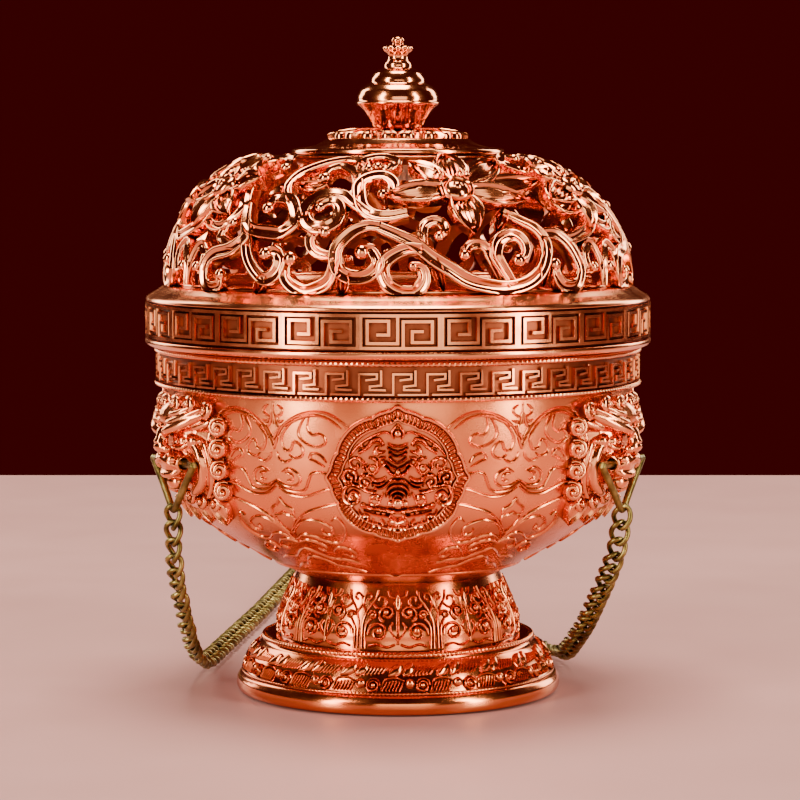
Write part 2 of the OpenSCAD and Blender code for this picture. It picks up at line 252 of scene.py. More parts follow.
def leaf(shape, wall, base, tip, half, lift=0.0, rise=0.0, bend=0.0, section=PETAL, height=1.0):
    """Petal or leaf from base to tip; rise lifts its middle and bend bows it sideways."""
    t = np.linspace(0, 1, 15)[:, None]
    base, tip = np.asarray(base, float), np.asarray(tip, float)
    path = base * (1 - t) + tip * t
    r = wall.radius(path[:, 1])
    run = (tip - base) * [RAD * r.mean(), 1]
    side = np.array([-run[1], run[0]]) / np.linalg.norm(run)
    bow = np.sin(math.pi * t[:, 0]) * bend
    path = path + np.stack([bow * side[0] / (RAD * r), bow * side[1]], -1)
    width = half * np.interp(t[:, 0], LEAF_T, LEAF_W)
    arch = lift + rise * np.sin(math.pi * t[:, 0])
    ribbon(shape, wall, path, section, width, height, arch)


def bulb(shape, wall, at, radius, lift, flat, rings=7, sides=14):
    """Rounded boss on a wall; flat is its height over its radius."""
    polar = np.linspace(0.03, math.pi - 0.03, rings)[:, None]
    turn = circle(sides)
    x = radius * np.sin(polar) * np.cos(turn)
    y = radius * np.sin(polar) * np.sin(turn)
    up = radius * flat * np.cos(polar) + 0 * turn
    r = float(wall.radius(at[1]))
    verts = wall.place(at[0] + x / (RAD * r), at[1] + y, up + lift)
    shape.add(verts, swept_faces(rings, sides))


def tube(shape, points, radius, sides, closed=False, start=(0, 0.1, 1)):
    """Round tube along points in space; radius may change along it."""
    p = np.asarray(points, float)
    n = len(p)
    if closed:
        along = unit(np.roll(p, -1, 0) - np.roll(p, 1, 0))
    else:
        along = unit(np.gradient(p, axis=0))
    normal = np.array(start, float)
    frames = []
    for t in along:
        normal = unit(normal - normal.dot(t) * t)
        frames.append(normal)
    frames = np.array(frames)
    side = np.cross(along, frames)
    a = circle(sides)
    radius = np.broadcast_to(np.asarray(radius, float), (n,))[:, None, None]
    verts = p[:, None, :] + radius * (frames[:, None, :] * np.cos(a)[None, :, None]
                                      + side[:, None, :] * np.sin(a)[None, :, None])
    shape.add(verts, swept_faces(n, sides, closed))


def ball(shape, centre, radii, rings, sides):
    """Ellipsoid."""
    polar = np.linspace(0.02, math.pi - 0.02, rings)[:, None]
    a = circle(sides)
    p = np.stack([np.sin(polar) * np.cos(a), np.sin(polar) * np.sin(a), np.cos(polar) + 0 * a], -1)
    shape.add(p * np.asarray(radii, float) + np.asarray(centre, float), swept_faces(rings, sides))


def rope(shape, r, z, wire, strands):
    """Twisted rope line round the axis."""
    steps, sides = strands * 5, 8
    a = circle(steps)[:, None]
    b = circle(sides)
    w = wire * (1 + 0.22 * np.cos(strands * a + 2 * b))
    rr = r + w * np.cos(b)
    verts = np.stack([rr * np.sin(a), -rr * np.cos(a), z + w * np.sin(b)], -1)
    shape.add(verts, grid(steps, sides, True, True))


def mesh_object(name, shape, merge=False):
    """Blender object of a shape, with its faces turned outwards."""
    mesh = bpy.data.meshes.new(name)
    mesh.from_pydata((np.concatenate(shape.verts) * MM).tolist(), [], shape.faces)
    bm = bmesh.new()
    bm.from_mesh(mesh)
    if merge:
        bmesh.ops.remove_doubles(bm, verts=bm.verts, dist=1e-7)
        bmesh.ops.dissolve_degenerate(bm, edges=bm.edges, dist=1e-8)
    bmesh.ops.recalc_face_normals(bm, faces=bm.faces)
    bm.to_mesh(mesh)
    bm.free()
    obj = bpy.data.objects.new(name, mesh)
    bpy.context.scene.collection.objects.link(obj)
    return obj


def finish_piece(obj, body, material, nodes, sharp=50):
    """Shade a mesh, give it its finish, and say what it stands for and rides on."""
    mesh = obj.data
    mesh.polygons.foreach_set("use_smooth", [True] * len(mesh.polygons))
    mesh.set_sharp_from_angle(angle=sharp * RAD)
    mesh.materials.clear()
    mesh.materials.append(material)
    if nodes:
        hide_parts(*nodes)
    if body is not None:
        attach(obj, body)
    return obj


def piece(name, shape, body, material, nodes=(), sharp=50, merge=False):
    """Make a Blender object of a shape and hang it on its body."""
    return finish_piece(mesh_object(name, shape, merge), body, material, nodes, sharp)


# ---------------------------------------------------------------- materials


class Nodes:
    """A Principled material with noise in its colour, roughness and surface."""

    def __init__(self, name, metallic=1.0):
        self.material = bpy.data.materials.new(name)
        self.material.use_nodes = True
        self.tree = self.material.node_tree
        self.shader = self.tree.nodes["Principled BSDF"]
        self.shader.inputs["Metallic"].default_value = metallic
        self.place = self.tree.nodes.new("ShaderNodeTexCoord").outputs["Object"]

    def feed(self, socket, value):
        """Link a socket from another one, or set it to a number, colour or vector."""
        if isinstance(value, bpy.types.NodeSocket):
            self.tree.links.new(value, socket)
        else:
            socket.default_value = value

    def node(self, kind, inputs):
        node = self.tree.nodes.new("ShaderNode" + kind)
        for name, value in inputs.items():
            self.feed(node.inputs[name], value)
        return node

    def noise(self, scale, detail=3, stretch=None):
        place = self.place
        if stretch is not None:
            place = self.node("Mapping", {"Vector": place, "Scale": stretch}).outputs["Vector"]
        inputs = {"Vector": place, "Scale": scale, "Detail": detail}
        return self.node("TexNoise", inputs).outputs["Fac"]

    def ramp(self, source, stops):
        """Colours or greys between stops of (position, value)."""
        node = self.node("ValToRGB", {"Fac": source})
        ramp = node.color_ramp
        while len(ramp.elements) < len(stops):
            ramp.elements.new(0.5)
        for element, (at, value) in zip(ramp.elements, stops):
            element.position = at
            element.color = (*value, 1) if isinstance(value, tuple) else (value, value, value, 1)
        return node.outputs["Color"]

    def mix(self, factor, a, b):
        node = self.node("Mix", {})
        node.data_type = "RGBA"
        for name, value in (("Factor", factor), ("A", a), ("B", b)):
            self.feed(node.inputs[name], (*value, 1) if isinstance(value, tuple) else value)
        return node.outputs["Result"]

    def height(self, low, high):
        """0 below the low height and 1 above the high one, in metres on the resting piece."""
        z = self.node("SeparateXYZ", {"Vector": self.place}).outputs["Z"]
        inputs = {"Value": z, "From Min": low, "From Max": high}
        return self.node("MapRange", inputs).outputs["Result"]

    def recess(self, distance):
        """Ambient occlusion: 1 in the open, towards 0 in narrow recesses; it masks the painted
        shade.
        """
        node = self.node("AmbientOcclusion", {"Distance": distance})
        node.samples = 4
        return node.outputs["AO"]

    def bump(self, heights):
        """Surface from heights: (source, strength, distance in metres), one on the other."""
        normal = None
        for source, strength, distance in heights:
            inputs = {"Strength": strength, "Distance": distance, "Height": source}
            if normal is not None:
                inputs["Normal"] = normal
            normal = self.node("Bump", inputs).outputs["Normal"]
        self.set("Normal", normal)

    def set(self, name, source):
        self.tree.links.new(source, self.shader.inputs[name])


def plated(name, light, dark, low_rough, high_rough, grain, fade=None):
    """Copper plate: slightly uneven colour and polish, with painted shade that darkens its
    recesses.

    fade gives two heights: the plate deepens from the upper one down to the lower."""
    painted_shade_reach = 0.0009
    n = Nodes(name)
    patches = n.ramp(n.noise(90), [(0.3, dark), (0.7, light)])
    if fade:
        patches = n.mix(n.height(*fade), plate_deep, patches)
    # painted shade: deep red-brown copper mixed in where ambient occlusion finds a recess
    deep = tuple(c * s for c, s in zip(dark, (0.34, 0.2, 0.18)))
    painted_shade = n.ramp(n.recess(painted_shade_reach), [(0.25, 1.0), (0.8, 0.0)])
    n.set("Base Color", n.mix(painted_shade, patches, deep))
    n.set("Roughness", n.ramp(n.noise(240, 4), [(0.3, low_rough), (0.75, high_rough)]))
    n.bump([(n.noise(60, 2), grain, 0.0004), (n.noise(1600, 2), grain, 0.00002)])
    return n.material


plate_deep = (0.62, 0.13, 0.043)
rose = (0.95, 0.36, 0.165)
rose_deep = (0.86, 0.255, 0.10)
polished = plated("copper_polished", rose, rose_deep, 0.10, 0.20, 0.10)
cast = plated("copper_cast", rose, rose_deep, 0.16, 0.28, 0.14)
satin = plated("copper_satin", (0.96, 0.325, 0.128), (0.90, 0.25, 0.09), 0.20, 0.32, 0.12,
               fade=(0.027, 0.041))
footing = plated("copper_footing", (0.78, 0.235, 0.085), plate_deep, 0.13, 0.24, 0.12)
# near-black copper for the painted shade laid in the key bands' recesses
painted_shade_copper = plated("copper_painted_shade", (0.30, 0.08, 0.035), (0.19, 0.045, 0.02), 0.28, 0.45, 0.12)
pan_copper = plated("copper_pan", (0.72, 0.36, 0.25), (0.55, 0.25, 0.16), 0.32, 0.50, 0.2)


def aged_brass_with_painted_shade():
    n = Nodes("brass_aged_painted_shade")
    patches = n.ramp(n.noise(420), [(0.3, (0.08, 0.055, 0.015)), (0.55, (0.25, 0.185, 0.055)),
                                    (0.75, (0.44, 0.35, 0.12))])
    # painted shade: near-black mixed in where ambient occlusion finds a recess in the chains,
    # rings and bails
    painted_shade = n.ramp(n.recess(0.0008), [(0.2, 1.0), (0.75, 0.0)])
    n.set("Base Color", n.mix(painted_shade, patches, (0.03, 0.018, 0.008)))
    n.set("Roughness", n.ramp(n.noise(700), [(0.3, 0.28), (0.75, 0.52)]))
    n.bump([(n.noise(1500, 4), 0.35, 0.00004)])
    return n.material


def turned_steel():
    n = Nodes("steel_turned")
    greys = [(0.3, (0.42, 0.42, 0.43)), (0.7, (0.62, 0.62, 0.64))]
    n.set("Base Color", n.ramp(n.noise(300), greys))
    n.set("Roughness", n.ramp(n.noise(500), [(0.3, 0.25), (0.75, 0.45)]))
    n.bump([(n.noise(900, 2, (1, 1, 12)), 0.2, 0.00003)])
    return n.material


def table():
    n = Nodes("table_top", metallic=0.0)
    pinks = [(0.3, (0.47, 0.243, 0.248)), (0.7, (0.525, 0.275, 0.28))]
    n.set("Base Color", n.ramp(n.noise(6), pinks))
    n.set("Roughness", n.ramp(n.noise(40), [(0.3, 0.44), (0.7, 0.52)]))
    n.bump([(n.noise(500, 3), 0.05, 0.0001)])
    return n.material


brass = aged_brass_with_painted_shade()
steel = turned_steel()

# ---------------------------------------------------------------- chains, rings and bails

# The routes of the chains, as they are in the CAD model: (x, y, z) points of the hanging part,
# then (x, y) points of the part that lies on the table
lying = 2.2
ROUTES = {
    "left": (
        [(-42, -24, 36.6), (-42, -23, 30), (-41.8, -19.5, 24), (-41.2, -14, 18), (-40.6, -7, 12),
         (-40, 1, 7), (-39.2, 10, 3.6), (-38.2, 20, 2.3)],
        [(-37, 30), (-35.8, 40), (-34.6, 50), (-33.4, 60), (-32.2, 70), (-31, 80), (-30, 90),
         (-29, 100), (-28, 110), (-27, 120), (-26, 130), (-25, 140), (-24, 150), (-22.5, 160),
         (-20, 169.5), (-16.5, 178.5), (-13.5, 186.5), (-12, 192.9)]),
    "right": (
        [(41.9, -24.2, 36.6), (41, -22.5, 30), (39.5, -17.5, 24), (38, -11, 18.6),
         (36.6, -2.5, 13), (35.2, 6.5, 8.4), (34, 15.5, 4.6), (33, 25, 2.6)],
        [(30, 34.5), (26, 43.5), (23, 53), (21, 63), (20, 73), (19.5, 83), (19.5, 93), (19.5, 103),
         (19.5, 113), (19.5, 123), (19.5, 133), (19, 143), (18.5, 153), (17.5, 163), (15.5, 173),
         (12, 183), (8, 192.9)]),
    "back": (
        [(0, 48.4, 36.6), (0, 49.6, 28), (0, 52, 20), (-0.4, 56, 12), (-1.4, 61.5, 6),
         (-5, 68.5, 2.8)],
        [(-11.5, 73.5), (-17.5, 79), (-19.3, 87), (-14.5, 94), (-6.5, 97), (2, 98.5), (9.5, 102.5),
         (13.3, 110), (11, 118), (4, 122.5), (-4.5, 124), (-12.5, 126.5), (-18, 132.5),
         (-18.5, 141), (-12.5, 147), (-4, 149), (4, 151), (9.5, 156.5), (10, 164.5), (4.5, 170),
         (-2, 174.5), (-4, 181.5), (-2, 188.9)]),
}
link_wire = 0.52
link_pitch = 3.3
# half the length of one link
link_long = 2.2
link_wide = 1.56
hanging_ring_at = (-2, 203, 1.85)
hanging_ring_r = 10.0
jump_r = 2.7
jump_azimuths = {"left": -135, "back": -90, "right": -45}


def link_loop():
    """Centreline of one curb link along X: an oval twisted a quarter turn from end to end."""
    a = circle(22)
    x = link_long * np.cos(a)
    y = link_wide * np.sign(np.sin(a)) * np.abs(np.sin(a)) ** 0.85
    twist = math.pi / 4 * x / link_long
    return np.stack([x, y * np.cos(twist), y * np.sin(twist)], -1)


def chain(name):
    """Links along a route, each turned with it and rocked a little; the first starts early."""
    hanging, on_table = ROUTES[name]
    route = spline(hanging + [(x, y, lying) for x, y in on_table], 12)
    gaps = np.linalg.norm(np.diff(route, axis=0), axis=1)
    run = np.concatenate([[0], np.cumsum(gaps)])
    early = 0.2
    count = int((run[-1] + 2 * early) / link_pitch)
    shape = Shape()
    loop = link_loop()
    normal = np.array([0.2, 0.1, 1.0])
    for k in range(count + 1):
        s = -early + k * (run[-1] + early) / count
        at, ahead, behind = (np.array([np.interp(x, run, route[:, i]) for i in range(3)])
                             for x in (s, s + 1, max(s, 0.6) - 1))
        along = unit(ahead - behind)
        normal = unit(normal - normal.dot(along) * along)
        side = np.cross(normal, along)
        rock = 0.16 * math.sin(2.3 * k)
        up = normal * math.cos(rock) + side * math.sin(rock)
        turn = np.stack([along, np.cross(up, along), up])
        tube(shape, loop @ turn + at, link_wire, 8, True, start=up + 0.3 * along)
    obj = mesh_object("chain_links_" + name, shape)
    finish_piece(obj, None, brass, ("chain_" + name,))
    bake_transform(obj)
    return obj, route


def ring(name, centre, radius, wire, turn, body, nodes):
    a = circle(64)
    flat = np.stack([radius * np.cos(a), radius * np.sin(a), 0 * a], -1)
    shape = Shape()
    tube(shape, flat @ np.array(turn.to_3x3()).T + np.array(centre), wire, 14, True)
    return piece(name, shape, body, brass, nodes)


def jump_ring(name):
    spin = around(jump_azimuths[name])
    to_ring = spin @ Vector((hanging_ring_r + 0.2, 0, 0))
    centre = (hanging_ring_at[0] + to_ring.x, hanging_ring_at[1] + to_ring.y, 2.75)
    leans = 52
    turn = spin @ Matrix.Rotation(leans * RAD, 4, "X")
    return ring("jump_ring_" + name, centre, jump_r, 0.6, turn, "root", ("jump_rings",))


def bail(name):
    """Bent wire V whose ends turn in to the mask's mouth."""
    arm = [(0, -8.4, 0), (0, -8.1, -0.5), (0, -4.2, -4.7), (0, -1.1, -8.3), (0, -0.35, -8.9)]
    path = [(0, -3, 0), (0, -7.6, 0)] + arm
    path = path + [(0, 0, -9.0)] + [(0, -y, z) for _, y, z in reversed(arm)]
    path = path + [(0, 7.6, 0), (0, 3, 0)]
    wire = spline(path, 5) + np.array([pin_r, 0, pin_z])
    shape = Shape()
    tube(shape, wire, 0.68, 14, start=(1, 0, 0))
    piece("bail_wire_" + name, shape.turned(mask_azimuths[name] - 90), "bail_" + name, brass,
          ("bail_" + name,))


ring_piece = ring("hanging_ring_wire", hanging_ring_at, hanging_ring_r, 1.0,
                  Matrix.Rotation(-4.5 * RAD, 4, "X"), "root", ("hanging_ring",))
for name in ROUTES:
    bail(name)
    links, route = chain(name)
    pieces = [jump_ring(name)] + ([ring_piece] if name == "back" else [])

# ---------------------------------------------------------------- foot

def foot():
    shape = Shape()
    outline = [(30.2, 0), (31.2, 0.35), (31.6, 1.3), (31.5, 2.6), (30.9, 3.6), (30.4, 3.9),
               (30.2, 4.1), (29.9, 4.6), (29.2, 6.6), (28.2, 8.3), (26.9, 9.6), (26.4, 9.9),
               (26.2, 10.4), (25.6, 11.2), (2.7, 11.2), (2.7, 8.7), (22, 8.7), (27.2, 3.4),
               (28.4, 0)]
    revolve(shape, fillet(outline, 0.3), 256)
    rope(shape, 26.15, 10.75, 0.42, 190)
    rope(shape, 30.35, 4.15, 0.22, 260)
    wall = Wall([(30.3, 4.2), (29.9, 4.9), (29.2, 6.6), (28.2, 8.3), (27.0, 9.5), (26.5, 9.9)])
    units = 20
    pitch = 360 / units
    for k in range(units):
        a = k * pitch
        # upper row: smooth petal beside a hatched leaf
        leaf(shape, wall, (a + 1.2, 5.6), (a - 3.6, 3.1), 1.35, section=LINE, height=0.75)
        leaf(shape, wall, (a + 5.4, 5.9), (a + 2.2, 3.3), 1.3, section=LINE, height=0.55)
        for h in range(7):
            x = a + 3.8 + h * 1.35
            line = [(x, 3.5 + 0.05 * h), (x + 1.15, 4.5), (x + 1.9, 5.5 - 0.05 * h)]
            ribbon(shape, wall, spline(line, 4), LINE, 0.24, 0.42)
        # lower row: ring with a boss, and a hatched leaf
        b = a + pitch / 2
        turn = np.linspace(0, 1.9 * 2 * math.pi, 34)
        radius = 1.35 - 0.85 * turn / turn[-1]
        coil = np.stack([b + radius * np.cos(turn) / (RAD * 29.6),
                         1.55 + radius * np.sin(turn)], -1)
        ribbon(shape, wall, coil, LINE, 0.3, 0.75)
        bulb(shape, wall, (b, 1.55), 0.5, 0.25, 0.9)
        bulb(shape, wall, (b - 4.6, 2.0), 0.95, 0.1, 0.75)
        for h in range(6):
            x = b + 3.4 + h * 1.2
            line = [(x, 0.5), (x + 0.9, 1.4), (x + 1.6, 2.5 - 0.12 * abs(h - 2.5))]
            ribbon(shape, wall, spline(line, 4), LINE, 0.22, 0.45)
        arc = [(b + 3.0, 0.6), (b + 4.2, 2.6), (b + 8.0, 3.0), (b + 11.4, 2.4)]
        ribbon(shape, wall, spline(arc, 6), LINE, 0.26, 0.5)
    piece("foot_casting", shape, "root", footing, ("foot",))


# ---------------------------------------------------------------- scrolls laid on a wall

def laid(wall, azimuth, points, v0=0.0, mirror=1):
    """Points (across, up) in millimetres about an azimuth, as (azimuth, v)."""
    p = np.asarray(points, float)
    v = p[:, 1] + v0
    return np.stack([azimuth + mirror * p[:, 0] / (RAD * wall.radius(v)), v], -1)


def laid_at_heights(wall, azimuth, points, mirror=1):
    """Points (across, z) about an azimuth, as (azimuth, v)."""
    p = np.array([(x, wall.up(z)) for x, z in points])
    return laid(wall, azimuth, p, 0.0, mirror)


def spiral(centre, radius, turns, start, sense=1, inner=0.3):
    """Points of a scroll that winds in to its centre."""
    t = np.linspace(0, 1, max(10, int(16 * turns)))
    a = (start + sense * 360 * turns * t) * RAD
    r = radius * (1 - (1 - inner) * t)
    return np.stack([centre[0] + r * np.cos(a), centre[1] + r * np.sin(a)], -1)


# ---------------------------------------------------------------- bowl's shells

FLARE = (37.2, pedestal_top + 10.2)
TURN = (bowl_r, pedestal_top + 15.1)
UPRIGHT = (bowl_r, pedestal_top + 34.6)


def bowl_side():
    """Quadratic curve from the flare, round the turn, to the upright wall."""
    a, b, c = (np.array(p) for p in (FLARE, TURN, UPRIGHT))
    return [a * (1 - s) ** 2 + b * 2 * s * (1 - s) + c * s * s for s in np.linspace(0, 1, 18)]


bowl_curve = [(19.7, pedestal_top), (24, pedestal_top + 2.25), (28.3, pedestal_top + 4.6)]
bowl_curve += [tuple(p) for p in spline([(28.3, pedestal_top + 4.6), (32.9, pedestal_top + 7.2),
                                         FLARE], 4)[1:-1]]
bowl_curve += [tuple(p) for p in bowl_side()] + [(bowl_r, bowl_top)]
bowl_wall = Wall(bowl_curve)

# Chased lines of one half cell, (across, z): the cell is mirrored about its own axis
CHASING = [
    [(-1, 59), (-2, 58.2), (-1.7, 57.3), (-0.9, 56.8), (-1.2, 55.9), (-2.2, 56.2)],
    [(-0.2, 57.6), (-0.5, 56), (-1.0, 55.0)],
    [(-1.5, 55.2), (-0.8, 53.9), (0, 52.6)],
    [(-0.9, 53.2), (-0.45, 52), (0, 50.9)],
    [(-1.0, 53.4), (-2, 55.1), (-3.9, 56.6), (-6.4, 57.7), (-9, 58), (-11.6, 57.4),
     (-14.2, 55.6), (-16.5, 53)],
    [(-2.6, 55.2), (-4.2, 56.1), (-6.4, 57), (-8.8, 57.3), (-11.2, 56.6), (-13.4, 55)],
    [(-7.3, 57), (-7, 55.1), (-7.9, 53.8), (-9.2, 54), (-10.3, 53.3), (-10.2, 52.2),
     (-8.4, 51.6), (-6.3, 52.4), (-5.2, 53.8), (-5.6, 55.4), (-6.6, 57)],
    [(-4, 56), (-2.3, 54.2), (-1.7, 52.4), (-2.4, 50.8), (-3.6, 51), (-4.1, 52.2), (-4.9, 52.3),
     (-5.9, 51.2), (-5.7, 49.9), (-4.2, 49.4), (-3.2, 50)],
    [(-3.5, 49.1), (-2.1, 48.6), (-0.9, 49.4), (-0.6, 50.4)],
    [(-10.4, 48.8), (-9.3, 50.1), (-7.7, 50.4), (-7.2, 49.4), (-8.2, 49), (-10, 48)],
    [(-1.4, 46.8), (-2.9, 47.4), (-4.5, 46.6), (-4.9, 45.3), (-3.9, 44.3), (-1.9, 44.2),
     (0, 45.2)],
    [(-2.1, 46.6), (-3.3, 46.3), (-3.3, 45.3), (-2.3, 45.2)],
    [(0, 44.8), (-1.8, 43.5), (-4.2, 43.2), (-5.7, 43.7), (-6.6, 45.3), (-7.4, 46.7),
     (-9.4, 46.9), (-11.8, 46.2)],
    [(-0.3, 43.9), (-2.4, 42.6), (-5.2, 42.3), (-7.6, 43), (-9.8, 43.8), (-12, 44.2)],
    [(-2.3, 38.9), (-2.1, 39.8), (-1.1, 40.4), (-0.5, 41), (0, 41.9)],
    [(-1.2, 36.4), (-2, 37.6), (-1.7, 38.5), (-0.7, 38.7), (0, 39.2)],
    [(-0.1, 35.2), (-2, 36.9), (-3.8, 38.5), (-5.8, 39.6), (-9, 40.6), (-12.5, 41.4)],
    [(-0.3, 34.2), (-1, 35.5), (-2.8, 37.1), (-5.2, 37.9), (-7.6, 37.4), (-8.9, 36.3),
     (-8.3, 35.1), (-6.8, 35.2), (-6.9, 36.1)],
    [(-0.2, 33.8), (-2.4, 34.8), (-4.6, 34.4), (-6.4, 33.4), (-8.6, 33.4), (-10.5, 34.6),
     (-11.4, 36.6), (-10.6, 38.4), (-9.4, 37.8)],
    [(-0.2, 33.1), (-2, 33.6), (-3.9, 33.2), (-5, 32), (-3.9, 31.4), (-3.2, 32)],
    [(-5.8, 31.3), (-7.4, 32.3), (-9.2, 31.9), (-9.6, 30.6), (-8.2, 30.2), (-7.8, 31)],
    [(0, 31.8), (-1.8, 30.8), (-3.8, 29.6), (-6, 29.4), (-8.4, 28.8)],
    [(0, 29.9), (-1.6, 29.2), (-3.2, 27.8), (-5.2, 27.4), (-7.4, 26.4)],
]


def bowl():
    shape = Shape()
    inside = [(r - shell * bowl_wall.normal[i][0], z - shell * bowl_wall.normal[i][1])
              for i, (r, z) in enumerate(bowl_curve)][3:]
    outline = [(2.7, pedestal_top)] + bowl_curve[:-1] + [(bowl_r, bowl_top)]
    outline += [(bowl_r - shell, bowl_top)] + inside[-2::-1]
    outline += [(18.8, pedestal_top + 2), (2.7, pedestal_top + 2)]
    revolve(shape, outline, 288)
    for cell in range(6):
        axis = 30 + 60 * cell
        for line in CHASING:
            for mirror in (-1, 1):
                path = spline(laid_at_heights(bowl_wall, axis, line, mirror), 5)
                width = 0.34 * taper(len(path), (0.5, 0.5), 0.12)
                ribbon(shape, bowl_wall, path, LINE, width, 0.42)
        ribbon(shape, bowl_wall, laid_at_heights(bowl_wall, axis, [(0, 59.4), (0, 58), (0, 55.5)]),
               LINE, 0.25, 0.3)
    # plain bead under the chased work
    bead = bowl_wall.up(25.6)
    turn = np.linspace(0, 360, 181)[:-1]
    ribbon(shape, bowl_wall, np.stack([turn, 0 * turn + bead], -1), LINE, 0.35, 0.35,
           closed=True)
    piece("bowl_shell", shape, "root", satin, ("bowl",), sharp=40)


pedestal_curve = [(23.5, foot_top), (23.35, foot_top + 1.5), (23.1, foot_top + 3.7),
                  (21.7, foot_top + 7.3), (20.6, foot_top + 10), (19.8, pedestal_top)]


def pedestal():
    shape = Shape()
    curve = [tuple(p) for p in spline(pedestal_curve, 6)]
    inside = [(r - shell, z) for r, z in curve]
    revolve(shape, curve + inside[::-1], 192)
    wall = Wall(curve)
    units = 10
    for k in range(units):
        axis = (k + 0.5) * 360 / units
        for mirror in (-1, 1):
            lines = [
                [(0.45, 0.3), (0.42, 3), (0.5, 5.6), (1.3, 8), (2.4, 9.8), (2.7, 11.4)],
                [(1.15, 0.3), (1.0, 2.4), (1.1, 4.4), (1.9, 5.9)],
                [(2.0, 8.9), (3.2, 8.0), (4.3, 8.6), (4.3, 9.9), (3.3, 10.2), (3.0, 9.4)],
                [(0.9, 7.2), (0.2, 8.6), (0.3, 10.2), (1.2, 10.9), (1.6, 10.1), (1.0, 9.6)],
                [(1.9, 0.7), (3.4, 1.1), (5.2, 0.6), (6.8, 1.1)],
                [(4.7, 11.4), (5.2, 10.3), (6.4, 9.9)],
            ]
            for line in lines:
                path = spline(laid(wall, axis, line, 0, mirror), 4)
                ribbon(shape, wall, path, LINE, 0.3, 0.5)
            scrolls = [((3.5, 3.3), 2.0, 1.35, 190), ((4.9, 7.0), 1.6, 1.3, 250),
                       ((2.2, 6.6), 0.9, 1.1, 180)]
            for centre, radius, turns, start in scrolls:
                path = laid(wall, axis, spiral(centre, radius, turns, start, -1, 0.2), 0, mirror)
                ribbon(shape, wall, path, LINE, 0.36, 0.6)
                bulb(shape, wall, path[-1], 0.3 * radius + 0.15, 0.3, 0.9, 6, 10)
        # a bud on its stem between two trees
        side = axis + 180 / units
        ribbon(shape, wall, laid(wall, side, [(0, 1.1), (0, 3.4), (0, 5.6), (0, 8.0)]), LINE, 0.3,
               0.5)
        leaf(shape, wall, (side, 7.6), (side, 11.4), 1.0, 0.0, section=LINE, height=0.7)
        for sway in (-1, 1):
            curve = laid(wall, side, [(0, 2.0), (0.9, 2.9), (1.5, 4.2), (0.9, 5.2)], 0, sway)
            ribbon(shape, wall, spline(curve, 4), LINE, 0.26, 0.45)
    piece("pedestal_casting", shape, "root", footing, ("pedestal",), sharp=45)


# ---------------------------------------------------------------- medallions

medallion_z = 46.4
